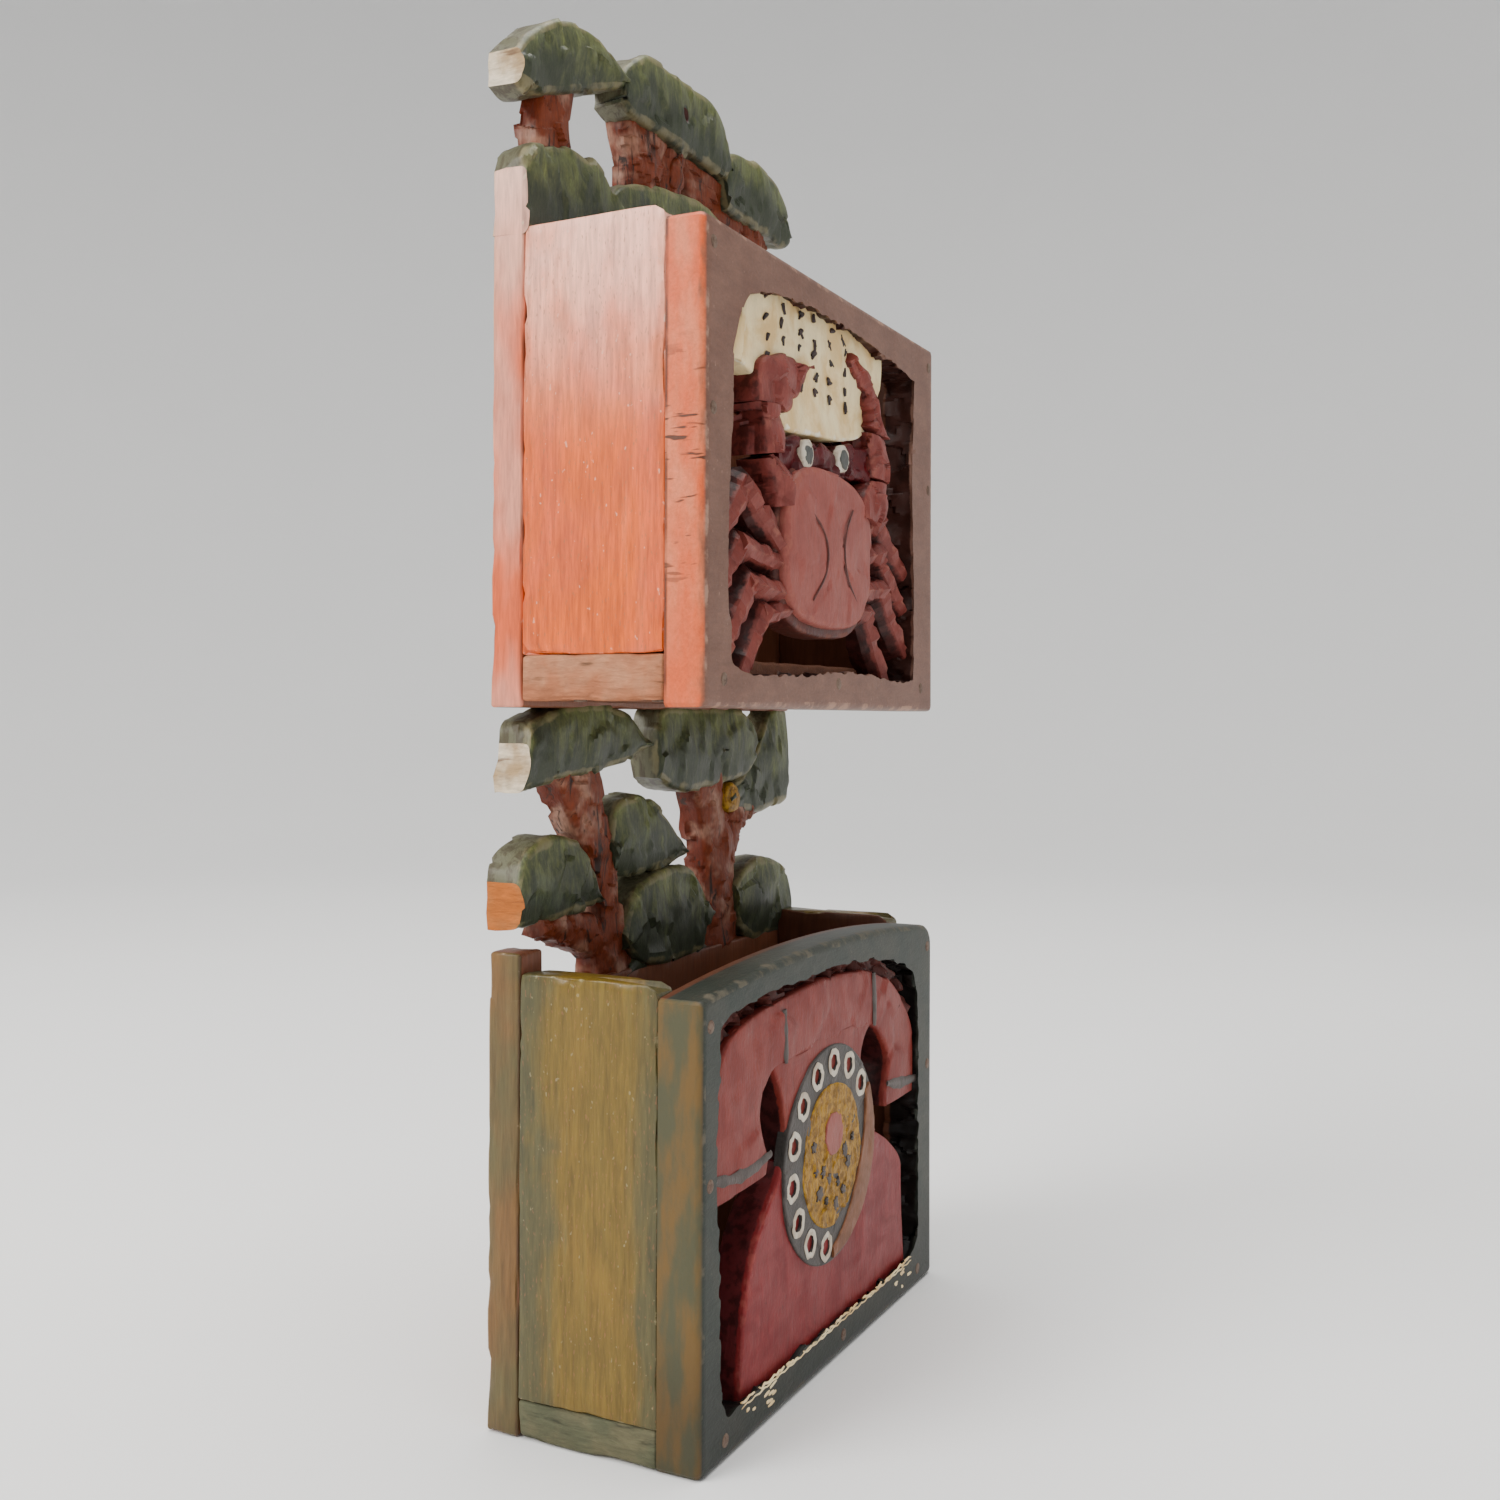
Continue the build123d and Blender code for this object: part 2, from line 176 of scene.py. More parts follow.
def cuts(p, size, depth, seed):
    """Knife facets: every point takes the height of its nearest cell's tilted flat.

    Cells are random points about size apart. The height is an offset plus tilt . (p - cell).
    """
    rng = np.random.default_rng(seed)
    flat = p.reshape(-1, 3)
    low, high = flat.min(0), flat.max(0)
    room = np.prod(np.maximum(high - low, size)) / size**3
    cells = low + rng.uniform(size=(int(min(max(room, 12), 900)), 3)) * (high - low)
    tilt = rng.normal(size=cells.shape)
    tilt *= depth / size / np.linalg.norm(tilt, axis=1)[:, None]
    offset = rng.uniform(-0.5, 0.5, len(cells)) * depth
    nearest = np.empty(len(flat), int)
    for start in range(0, len(flat), 20000):
        block = flat[start:start + 20000]
        apart = ((block[:, None, :] - cells[None]) ** 2).sum(-1)
        nearest[start:start + 20000] = apart.argmin(1)
    height = offset[nearest] + ((flat - cells[nearest]) * tilt[nearest]).sum(-1)
    return height.reshape(p.shape[:-1])


def outward(p):
    """Unit normals of a grid whose columns run round a closed section, pointing away from it."""
    along = np.gradient(p, axis=0)
    across = (np.roll(p, -1, 1) - np.roll(p, 1, 1)) / 2
    n = np.cross(along, across)
    n /= np.maximum(np.linalg.norm(n, axis=-1, keepdims=True), 1e-9)
    away = p - p.mean(1, keepdims=True)
    return n * np.sign((n * away).sum((0, 1, 2)) + 1e-12)


def slab(side_a, side_b, face, rim, bow=0.0, strips=10, back=0.0):
    """A carved slab between two matching outlines, as a grid of (x, out, z) in millimetres.

    The section at each pair runs up the flank at side a, over a quarter circle of radius rim,
    across the face, bowed by bow * (1 - (2 f - 1)^2), and down the flank at side b.
    Returns the grid and how near each point is to a worn edge, from 0 to 1.
    """
    a, b = np.asarray(side_a, float), np.asarray(side_b, float)
    width = np.maximum(np.linalg.norm(b - a, axis=1), 1e-6)
    turn = np.radians([0, 22.5, 45, 67.5, 90])
    rise = np.linspace(0, 1, 5)[:-1]
    f = np.linspace(0, 1, strips + 1)[1:-1]
    share = np.concatenate([np.zeros(4), np.zeros(5), f, np.ones(5), np.ones(4), [0.66, 0.33]])
    inset = np.concatenate([np.zeros(4), 1 - np.cos(turn), 1 - 2 * f, -(1 - np.cos(turn))[::-1],
                            np.zeros(4), [0.0, 0.0]])
    drop = np.concatenate([np.full(4, 1.0), 1 - np.sin(turn), np.zeros(len(f)),
                           (1 - np.sin(turn))[::-1], np.full(4, 1.0), [1.0, 1.0]])
    climb = np.concatenate([rise, np.ones(10 + len(f)), rise[::-1], [0.0, 0.0]])
    crown = np.where((climb == 1) & (share > 0) & (share < 1), 1 - (2 * share - 1) ** 2, 0.0)
    worn = np.concatenate([rise**4, np.full(5, 1.0), np.exp(-np.minimum(f, 1 - f) * strips),
                           np.full(5, 1.0), (rise**4)[::-1], [0.0, 0.0]])
    edge = np.minimum(rim, 0.45 * width)[:, None]
    reach = share * width[:, None] + inset * edge
    flat = a[:, None] + (b - a)[:, None] * (reach / width[:, None])[..., None]
    out = back + (face - back - drop * edge) * climb + bow * crown
    return raised(flat, out), np.broadcast_to(worn, reach.shape)


def pad(outline, centre, face, rim, bow=0.0, rings=14, back=0.0):
    """A carved pad with one closed outline: rings that shrink to the centre, as (x, out, z).

    Rows run from the back, up the flank, over a quarter circle of radius rim and inwards, where
    the height is face + bow * (1 - s^2) at a share s of the way out. Both middles are closed.
    """
    rim_turn = np.radians([0, 22.5, 45, 67.5, 90])
    loop = np.asarray(outline, float) - centre
    radius = np.linalg.norm(loop, axis=1).mean()
    inner = np.linspace(1, 0, rings + 1)
    size = np.concatenate([[0.0], [1.0] * 4, 1 - rim / radius * (1 - np.cos(rim_turn)),
                           (1 - rim / radius) * inner[1:]])
    out = np.concatenate([[back], np.linspace(back, face - rim, 5)[:-1],
                          face - rim * (1 - np.sin(rim_turn)),
                          np.full(rings, face) + bow * (1 - inner[1:] ** 2)])
    worn = np.concatenate([[0], np.linspace(0, 1, 5)[:-1] ** 4, np.ones(5),
                           np.exp(-np.arange(1, rings + 1) * 1.5)])
    flat = centre + loop[None] * size[:, None, None]
    return raised(flat, out[:, None]), np.broadcast_to(worn[:, None], flat.shape[:2])


def limb(path, widths, heights, face, seed, rows=26):
    """A carved limb along a path: a seven-sided section with a ridge, as wide and high as given.

    The section reaches half the width to each side up to about half the height, a quarter of it
    near the top, and has its ridge in the middle. It stands upright on the board.
    """
    line = straight(path, rows)
    share = np.linspace(0, 1, rows)
    knots = np.linspace(0, 1, len(widths))
    w = np.interp(share, knots, widths)[:, None]
    h = np.interp(share, knots, heights)[:, None]
    across = np.array([-0.5, -0.5, -0.27, 0.04, 0.3, 0.5, 0.5])
    lift = np.array([0.0, 0.5, 0.87, 1.0, 0.84, 0.45, 0.0])
    flat = line[:, None] + sideways(line)[:, None] * (across * w)[..., None]
    grid = raised(flat, face - h + lift * h)
    grid = grid + outward(grid) * cuts(grid, 5.0, 1.1, seed)[..., None]
    worn = np.broadcast_to(np.array([0, 0, 0.4, 1.0, 0.5, 0, 0]), grid.shape[:2])
    return grid, worn


def board(low, high, round_edge, step, nose, wave, seed):
    """A plain board: rounded rectangles stacked up Z, closed at both ends.

    A ring's inset is r (1 - sin) within r of each end. The front (low Y) top corner is rounded
    over by nose, and the faces wander by wave, as on a hand-planed board.
    """
    low, high = np.asarray(low, float), np.asarray(high, float)
    size = high - low
    r = round_edge
    nx, ny = (max(int(size[i] / step), 4) for i in (0, 1))
    quarter = np.radians([0, 30, 60, 90])
    corner = unit(quarter) * r
    turns = ((1, 1), (-1, 1), (-1, -1), (1, -1))
    ring = []
    for k, (sx, sy) in enumerate(turns):
        arc = corner * (sx, sy) if sx * sy > 0 else corner[::-1] * (sx, sy)
        here = np.array([(size[0] / 2 - r) * sx, (size[1] / 2 - r) * sy]) + arc
        ring.append(here)
        nx_, ny_ = turns[(k + 1) % 4]
        nxt = corner * (nx_, ny_) if nx_ * ny_ > 0 else corner[::-1] * (nx_, ny_)
        there = np.array([(size[0] / 2 - r) * nx_, (size[1] / 2 - r) * ny_]) + nxt[0]
        n = nx if k % 2 == 0 else ny
        ring.append(here[-1] + (there - here[-1]) * np.linspace(0, 1, n + 1)[1:-1, None])
    ring = np.vstack(ring)
    nz = max(int(size[2] / step), 4)
    rise, draw = r * (1 - np.cos(quarter)), r * (1 - np.sin(quarter))
    z = np.concatenate([[0], rise, np.linspace(r, size[2] - r, nz)[1:-1], size[2] - rise[::-1],
                        [size[2]]])
    inset = np.concatenate([[-1], draw, np.zeros(nz - 2), draw[::-1], [-1]])
    half = size[:2] / 2
    shrink = np.where(inset[:, None] < 0, 0.0, 1 - inset[:, None] / half)
    flat = ring[None] * shrink[:, None]
    height = np.broadcast_to(z[:, None], flat.shape[:2]).copy()
    if nose:
        front = np.clip((nose - (flat[..., 1] + half[1])) / nose, 0, 1)
        top = np.clip((height - size[2] + nose) / nose, 0, 1)
        height -= nose * (1 - np.sqrt(np.clip(1 - front**2, 0, 1))) * top
    grid = np.stack([flat[..., 0], flat[..., 1], height], axis=-1)
    centre = np.array([low[0] + half[0], low[1] + half[1], low[2]])
    gaps = np.sort(np.minimum(grid + [half[0], half[1], 0],
                              [half[0], half[1], size[2]] - grid), axis=-1)[..., 1]
    worn = np.exp(-np.maximum(gaps, 0) / 1.6)
    grid = grid + centre
    dent = ripple(grid, 60.0, seed) * wave
    nick = np.minimum(cuts(grid, 7.0, 0.9, seed + 1), 0) * worn
    mid = np.array([centre[0], centre[1], low[2] + size[2] / 2])
    loss = (np.abs(dent) + np.abs(nick)) * (worn * 0.8 + 0.2)
    grid = grid - np.sign(grid - mid) * loss[..., None]
    return grid, worn


def ring_frame(outer, inner, centre, thick, round_out, seed):
    """A pierced panel's frame: a closed section carried round from the outer to the inner outline.

    Stations are rays from the centre. The section runs up the outer side, over a rounded edge,
    across the face, over the opening's edge, down the jamb, where the knife left hollows, and
    back across the inside.
    """
    def polar(points):
        p = np.asarray(points, float) - centre
        angle = np.arctan2(p[:, 1], p[:, 0])
        order = np.argsort(angle)
        return angle[order], np.linalg.norm(p, axis=1)[order]

    outer_angle, outer_radius = polar(outer)
    inner_angle, inner_radius = polar(inner)
    theta = np.unique(np.concatenate([np.linspace(-np.pi, np.pi, 721)[:-1], outer_angle]))
    ro = np.interp(theta, outer_angle, outer_radius, period=2 * np.pi)
    ri = np.interp(theta, inner_angle, inner_radius, period=2 * np.pi)
    turn = np.radians([0, 30, 60, 90])
    face = np.linspace(0, 1, 8)[1:-1]
    bite = 0.9  # how much the knife took off the opening's edge
    jamb = np.linspace(1, 0, 9)[1:]
    share = np.concatenate([[0, 0], np.zeros(4), face, np.ones(3), np.ones(8), [0.66, 0.33]])
    inset = np.concatenate([[0, 0], round_out * (1 - np.cos(turn)),
                            round_out * (1 - face) - bite * face,
                            -bite * (1 - np.sin(np.radians([0, 45, 90]))), np.zeros(8), [0, 0]])
    out = np.concatenate([[0, thick * 0.5], thick - round_out * (1 - np.sin(turn)),
                          np.full(6, thick), thick - bite * (1 - np.cos(np.radians([0, 45, 90]))),
                          (thick - bite) * jamb, [0, 0]])
    deep = np.concatenate([np.zeros(12), [0.3, 0.6, 1.0], np.ones(8), [0, 0]])
    worn = np.concatenate([[0, 0.2], np.ones(4), np.exp(-face * 12), [0.2, 0.5, 0.2],
                           np.zeros(8), [0, 0]])
    radius = ro[:, None] + (ri - ro)[:, None] * share - inset * np.where(share < 1, 1, -1)
    way = unit(theta)
    grid = raised(np.asarray(centre) + way[:, None] * radius[..., None], out)
    hollow = cuts(grid, 6.5, 1.5, seed) * deep + ripple(grid, 9.0, seed + 3) * 0.5 * deep
    grid[..., 0] += way[:, None, 0] * hollow
    grid[..., 2] += way[:, None, 1] * hollow
    return grid, np.broadcast_to(worn, radius.shape)


def place(grid, back_y):
    """Turns (x, out, z) into rack coordinates: out is measured from back_y towards the viewer."""
    moved = grid.copy()
    moved[..., 1] = back_y - grid[..., 1]
    return moved


def rectangle(low, high, corners, crest=0.0):
    """A closed outline; its top edge falls by crest * (x / half width)^2.

    corners are the radii at the top right, top left, bottom left and bottom right.
    """
    centre = (np.asarray(low, float) + high) / 2
    half = (np.asarray(high, float) - low) / 2
    loop = []
    for (sx, sz), r, start in zip(((1, 1), (-1, 1), (-1, -1), (1, -1)), corners, (0, 90, 180, 270)):
        turn = np.radians(np.linspace(start, start + 90, 12))
        loop.append(np.array([(half[0] - r) * sx, (half[1] - r) * sz]) + r * unit(turn))
    loop = straight(np.vstack(loop), 400, closed=True)
    top = np.clip(loop[:, 1] / half[1], 0, 1)
    loop[:, 1] -= crest * (loop[:, 0] / half[0]) ** 2 * top
    return loop + centre


class Shape:
    """Collects grids into one closed mesh, with named values on its vertices."""

    def __init__(self):
        self.points, self.faces, self.marks, self.slots, self.total = [], [], [], [], 0

    def grid(self, p, wrap_rows=False, wrap_columns=True, caps=None, slot=0, **marks):
        """Adds a grid of points; caps gives the slots of the two faces that close its ends."""
        rows, columns = p.shape[:2]
        index = np.arange(rows * columns).reshape(rows, columns) + self.total
        full = np.vstack([index, index[:1]]) if wrap_rows else index
        full = np.hstack([full, full[:, :1]]) if wrap_columns else full
        quads = np.stack([full[:-1, :-1], full[1:, :-1], full[1:, 1:], full[:-1, 1:]], axis=-1)
        self.faces += quads.reshape(-1, 4).tolist()
        self.slots += [slot] * (len(self.faces) - len(self.slots))
        if caps is not None:
            self.faces += [index[0].tolist(), index[-1][::-1].tolist()]
            self.slots += list(caps)
        self.points.append(p.reshape(-1, 3))
        self.marks.append({k: np.broadcast_to(v, p.shape[:2]).ravel() for k, v in marks.items()})
        self.total += rows * columns

    def build(self, name, materials, record_slot, replaces, sharp):
        """Makes the object, turns its faces outwards, and lets it ride and replace CAD nodes."""
        mesh = bpy.data.meshes.new(name)
        mesh.from_pydata((np.vstack(self.points) * MM).tolist(), [], self.faces)
        mesh.polygons.foreach_set("material_index", self.slots)
        for key in sorted({k for m in self.marks for k in m}):
            values = [m.get(key, np.zeros(len(p))) for m, p in zip(self.marks, self.points)]
            layer = mesh.attributes.new(key, "FLOAT", "POINT")
            layer.data.foreach_set("value", np.concatenate(values).astype(np.float32))
        work = bmesh.new()
        work.from_mesh(mesh)
        bmesh.ops.remove_doubles(work, verts=work.verts, dist=1e-6)
        bmesh.ops.recalc_face_normals(work, faces=work.faces)
        work.to_mesh(mesh)
        work.free()
        mesh.polygons.foreach_set("use_smooth", [True] * len(mesh.polygons))
        mesh.set_sharp_from_angle(angle=math.radians(sharp))
        for material in materials:
            mesh.materials.append(material)
        piece = bpy.data.objects.new(name, mesh)
        bpy.context.scene.collection.objects.link(piece)
        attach(piece, BODY)
        if replaces:
            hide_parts(*replaces)
        return piece


# ---------------------------------------------------------------- shader maths

class Value:
    """A number socket that can be used in Python sums; each sum adds a Math node."""

    def __init__(self, paint, socket):
        self.paint, self.socket = paint, socket

    def math(self, operation, *others):
        """One Math node on this value and the others."""
        inputs = {i: v for i, v in enumerate((self,) + others)}
        return self.paint.node("ShaderNodeMath", {"operation": operation}, inputs)

    def flipped(self, operation, other):
        """The same with the other value first."""
        return self.paint.node("ShaderNodeMath", {"operation": operation}, {0: other, 1: self})

    def __add__(self, other):
        return self.math("ADD", other)

    __radd__ = __add__

    def __sub__(self, other):
        return self.math("SUBTRACT", other)

    def __rsub__(self, other):
        return self.flipped("SUBTRACT", other)

    def __mul__(self, other):
        return self.math("MULTIPLY", other)

    __rmul__ = __mul__

    def __truediv__(self, other):
        return self.math("DIVIDE", other)

    def __rtruediv__(self, other):
        return self.flipped("DIVIDE", other)

    def __abs__(self):
        return self.math("ABSOLUTE")

    def step(self, low, high):
        """0 below low, 1 above high, and a smooth ramp between; low may be the larger."""
        return self.paint.node("ShaderNodeMapRange", {"interpolation_type": "SMOOTHSTEP"},
                               {"Value": self, "From Min": low, "From Max": high})


# Every material made so far, by name, and the specular level that they share.
FINISHES = {}
SPECULAR = 0.22


class Paint:
    """A material under construction, with its Principled shader and object coordinates."""

    def __init__(self, name, roughness, coat, coat_roughness=0.3):
        self.material = bpy.data.materials.new(name)
        FINISHES[name] = self.material
        self.material.use_nodes = True
        self.tree = self.material.node_tree
        self.tree.nodes.clear()
        self.output = self.tree.nodes.new("ShaderNodeOutputMaterial")
        self.shader = self.tree.nodes.new("ShaderNodeBsdfPrincipled")
        self.tree.links.new(self.shader.outputs[0], self.output.inputs[0])
        self.shader.inputs["Roughness"].default_value = roughness
        self.shader.inputs["Coat Weight"].default_value = coat
        self.shader.inputs["Coat Roughness"].default_value = coat_roughness
        self.shader.inputs["Specular IOR Level"].default_value = SPECULAR
        self.place = self.tree.nodes.new("ShaderNodeTexCoord").outputs["Object"]
        split = self.node("ShaderNodeSeparateXYZ", {}, {"Vector": self.place}, out=None)
        self.x, self.y, self.z = (Value(self, s) / MM for s in split.outputs)

    def node(self, kind, settings, inputs, out=0):
        """Adds a node, sets it up, and fills its sockets; gives back a value or the node itself."""
        made = self.tree.nodes.new(kind)
        for key, value in settings.items():
            setattr(made, key, value)
        for key, value in inputs.items():
            socket = made.inputs[key]
            if isinstance(value, Value):
                self.tree.links.new(value.socket, socket)
            elif isinstance(value, bpy.types.NodeSocket):
                self.tree.links.new(value, socket)
            else:
                socket.default_value = value
        return made if out is None else Value(self, made.outputs[out])

    def noise(self, size, stretch=(1, 1, 1), detail=3.0, rough=0.55, warp=0.0, shift=0.0):
        """Noise with features about size millimetres across, longer where stretch is above 1."""
        scale = [1 / (size * MM * s) for s in stretch]
        spot = self.node("ShaderNodeMapping", {}, {"Vector": self.place, "Scale": scale,
                                                   "Location": (shift, shift * 0.7, shift * 1.3)})
        return self.node("ShaderNodeTexNoise", {}, {"Vector": spot.socket, "Scale": 1.0,
                                                    "Detail": detail, "Roughness": rough,
                                                    "Distortion": warp})

    def mark(self, name):
        """A value stored on the mesh's vertices."""
        return self.node("ShaderNodeAttribute", {"attribute_name": name}, {}, out=2)

    def bare(self, worn, noise, spread, low, high):
        """Where the paint has gone: the edges' wear times worn, shifted by a noise times spread."""
        return (self.mark("worn") * worn + (noise - 0.5) * spread).step(low, high)

    def mix(self, factor, a, b, blend="MIX"):
        """Colour a where factor is 0, colour b where it is 1."""
        fill = {0: factor, 6: self.colour(a), 7: self.colour(b)}
        return self.node("ShaderNodeMix", {"data_type": "RGBA", "blend_type": blend}, fill, out=2)

    def colour(self, c):
        """A colour as a socket takes it: a link as it is, numbers with an alpha of 1."""
        return c if isinstance(c, (Value, bpy.types.NodeSocket)) else (*tuple(c)[:3], 1.0)

    def tint(self, c, amount):
        """A colour lightened or darkened by a value near 1."""
        grey = self.node("ShaderNodeCombineXYZ", {}, {0: amount, 1: amount, 2: amount})
        return self.mix(1.0, c, grey, "MULTIPLY")

    def finish(self, colour, roughness=None, height=None, relief=0.3):
        """Links the colour, the roughness and a height in millimetres to the shader."""
        self.tree.links.new(colour.socket, self.shader.inputs["Base Color"])
        if roughness is not None:
            self.tree.links.new(roughness.socket, self.shader.inputs["Roughness"])
        if height is not None:
            bump = self.node("ShaderNodeBump", {}, {"Strength": 1.0, "Distance": relief * MM,
                                                    "Height": height})
            self.tree.links.new(bump.socket, self.shader.inputs["Normal"])
        return self.material


# ---------------------------------------------------------------- colours and finishes

SALMON = (0.60, 0.095, 0.024)
SALMON_PALE = (0.70, 0.22, 0.11)
ORANGE = (0.62, 0.098, 0.007)
OCHRE_STAIN = (0.165, 0.103, 0.012)
INSIDE = (0.10, 0.035, 0.018)
SLATE = (0.022, 0.029, 0.023)
MAUVE = (0.178, 0.09, 0.064)
BRICK = (0.275, 0.07, 0.055)
CREAM = (0.92, 0.76, 0.44)
PINE = (0.15, 0.17, 0.055)
# PINE_DARK is the crowns' painted shade and PINE_PALE their painted highlight.
PINE_DARK = (0.045, 0.055, 0.03)
PINE_PALE = (0.30, 0.31, 0.085)
BARK = (0.165, 0.030, 0.008)
# BARK_FLANK is the trunks' cut sides: redder, and darkened as painted shade.
BARK_FLANK = (0.105, 0.013, 0.002)


def rack_settings():
    """The sizes, colours and light that the scene holds for the rack."""
    return bpy.context.scene.letter_rack


def paint_coat(name, base, other, worn, blot=22.0, wear=1.0, roughness=0.5, coat=0.06,
               grain=0.25, speck=0.25, relief=0.35, dark=(0.02, 0.012, 0.01), flank=None):
    """Old hand-laid paint: two tones in blots and brush streaks, specks, and worn edges.

    blot is the width of a blot in millimetres. Where flank is given, the cut sides of the carving take that
    colour, roughly brushed: partly their own darker paint, partly painted shade that grows with depth.
    """
    p = Paint(name, roughness, coat, 0.25)
    cloud = p.noise(blot, detail=4.0, rough=0.6, warp=0.6).step(0.36, 0.66)
    brush = p.noise(3.2, (1, 1, 4), 3.0, 0.6, 0.4, shift=3.0)
    fine = p.noise(0.9, (1, 1, 2.2), 2.0, 0.7, shift=7.0)
    colour = p.mix(cloud, base, other)
    colour = p.tint(colour, 1.0 + (brush - 0.5) * (2.2 * grain) + (fine - 0.5) * (1.6 * speck))
    bare = p.bare(0.75, p.noise(4.0, detail=4.0, shift=1.7), 1.3, 0.66, 0.95)
    colour = p.mix(bare * wear, colour, worn)
    # Flank colour: the cut sides' own darker paint together with painted shade, strongest deep down.
    if flank:
        deep = (p.mark("flank") + (brush - 0.5) * 0.5 + (p.noise(2.4, shift=6.0) - 0.5) * 0.5)
        rough = p.mix(p.noise(3.6, detail=4.0, shift=2.2).step(0.42, 0.62), flank,
                      tuple(0.45 * c for c in flank))
        colour = p.mix(deep.step(0.35, 0.6), colour, rough)
    pit = (fine * 0.6 + brush * 0.4).step(0.36, 0.27)
    colour = p.mix(pit * 0.6, colour, dark)
    gloss = roughness + bare * 0.15 + (cloud - 0.5) * 0.12
    return p.finish(colour, gloss, brush * 0.6 + fine * 0.4 - bare * 0.35, relief)


def varnish(name, low, high, pale, worn, speckle=0.6, painted_sheen=0.0):
    """Varnished board: upright speckled grain, broad patches, dark stain on its inner face.

    Its last argument is the strength of a painted sheen that lightens the board towards the top of the upper
    pocket.
    """
    p = Paint(name, 0.42, 0.25, 0.22)
    grain = p.noise(1.6, (1, 1, 9), 4.0, 0.65, 0.3)
    line = p.noise(4.5, (1, 1, 22), 3.0, 0.55, 0.8, shift=2.0)
    patch = p.noise(26.0, (1, 1, 1.8), 3.0, 0.55, 0.7, shift=5.0)
    colour = p.mix(patch.step(0.38, 0.64), low, high)
    colour = p.mix(line.step(0.5, 0.8) * 0.22, colour, pale)
    # Painted sheen: the board is lightened to pale peach in clouds towards its top, as a highlight.
    if painted_sheen:
        cloud = p.noise(14.0, (1, 1, 1.6), 4.0, shift=6.0).step(0.3, 0.62)
        cloud = p.z.step(305.0, 384.0) * (cloud * 0.5 + 0.5)
        colour = p.mix(cloud * painted_sheen, colour, (0.98, 0.56, 0.42))
    else:
        green = (abs(p.y + 1.0) * 0.05 + (patch - 0.5) * 1.6 + (line - 0.5) * 0.8).step(0.42, 1.1)
        colour = p.mix(green * 0.78, p.tint(colour, 0.8), (0.046, 0.052, 0.025))
    bare = p.bare(0.8, p.noise(5.0, detail=4.0, shift=4.0), 1.6, 0.74, 1.0)
    colour = p.mix(bare, colour, worn)
    dots = p.noise(0.8, (1, 1, 3), 1.0, 0.5, shift=9.0).step(0.62, 0.74)
    colour = p.tint(colour, 1.0 + (grain - 0.5) * 1.5 + (line - 0.5) * 0.5)
    colour = p.mix(dots * speckle, colour, (0.30, 0.11, 0.05))
    fleck = p.noise(1.5, (1, 1, 1.5), 1.0, 0.5, shift=11.0).step(0.72, 0.78)
    colour = p.mix(fleck * 0.45, colour, worn)
    inner = abs(p.x).step(HALF - 9.8, HALF - 10.6)
    colour = p.mix(inner, colour, p.tint(rack_settings().inside, 1.0 + (grain - 0.5) * 0.9))
    return p.finish(colour, 0.42 + (patch - 0.5) * 0.2 + bare * 0.2, grain * 0.5 + line * 0.5, 0.3)


def end_grain(name, base, dark, pale):
    """A sawn end: short crossing fibres and a few dark checks; brown between the side boards."""
    p = Paint(name, 0.7, 0.0)
    fibre = p.noise(1.4, (1, 5, 1), 4.0, 0.7, 0.6)
    cloud = p.noise(14.0, detail=4.0, shift=3.0)
    colour = p.mix(cloud.step(0.38, 0.66), base, pale)
    colour = p.tint(colour, 1.0 + (fibre - 0.5) * 1.3)
    check = p.noise(3.0, (1, 6, 1), 3.0, shift=6.0).step(0.60, 0.72)
    colour = p.mix(check * 0.8, colour, dark)
    inner = abs(p.x).step(HALF - 8.8, HALF - 9.6)
    colour = p.mix(inner, colour, p.tint((0.17, 0.07, 0.04), 1.0 + (fibre - 0.5) * 0.9))
    return p.finish(colour, 0.62 + fibre * 0.2, fibre, 0.5)


def pine_paint():
    """Crown paint: yellow-green brushed upwards, with painted shade in blue-black low on each crown, a
    painted highlight at its top, painted shade on its cut sides, and bare at the knife's edges.
    """
    rack = rack_settings()
    p = Paint("pine_green_paint", 0.48, 0.25)
    stroke = p.noise(3.0, (1, 1, 4.5), 4.0, 0.65, 0.8)
    cloud = p.noise(17.0, detail=4.0, shift=2.0)
    fine = p.noise(0.8, (1, 1, 2), 2.0, shift=5.0)
    # Painted light: each crown goes from painted shade at its foot to a painted highlight at its top, by its
    # height.
    lit = p.mark("height") * 0.75 + (cloud - 0.5) * 1.2 + (stroke - 0.5) * 0.9
    colour = p.mix(lit.step(0.2, 0.85), rack.pine_dark, rack.pine)
    colour = p.mix((lit + (stroke - 0.5) * 1.4).step(0.85, 1.35), colour, rack.pine_pale)
    colour = p.mix(cloud.step(0.56, 0.7) * 0.5, colour, (0.075, 0.095, 0.075))
    colour = p.tint(colour, 0.76 + (fine - 0.5) * 0.8 + (stroke - 0.5) * 0.8)
    # Painted shade: the crowns' cut sides are darkened to brown-green, more the deeper they go.
    flank = (p.mark("flank") + (cloud - 0.5) * 0.7).step(0.3, 0.7)
    colour = p.mix(flank * 0.85, colour, p.mix(stroke.step(0.42, 0.6), (0.11, 0.105, 0.06),
                                               (0.055, 0.04, 0.022)))
    bare = p.bare(0.9, p.noise(7.0, shift=8.0), 1.4, 0.72, 1.05)
    colour = p.mix(bare * 0.55, colour, (0.26, 0.22, 0.11))
    return p.finish(colour, 0.45 + stroke * 0.2, stroke * 0.7 + fine * 0.3, 0.5)


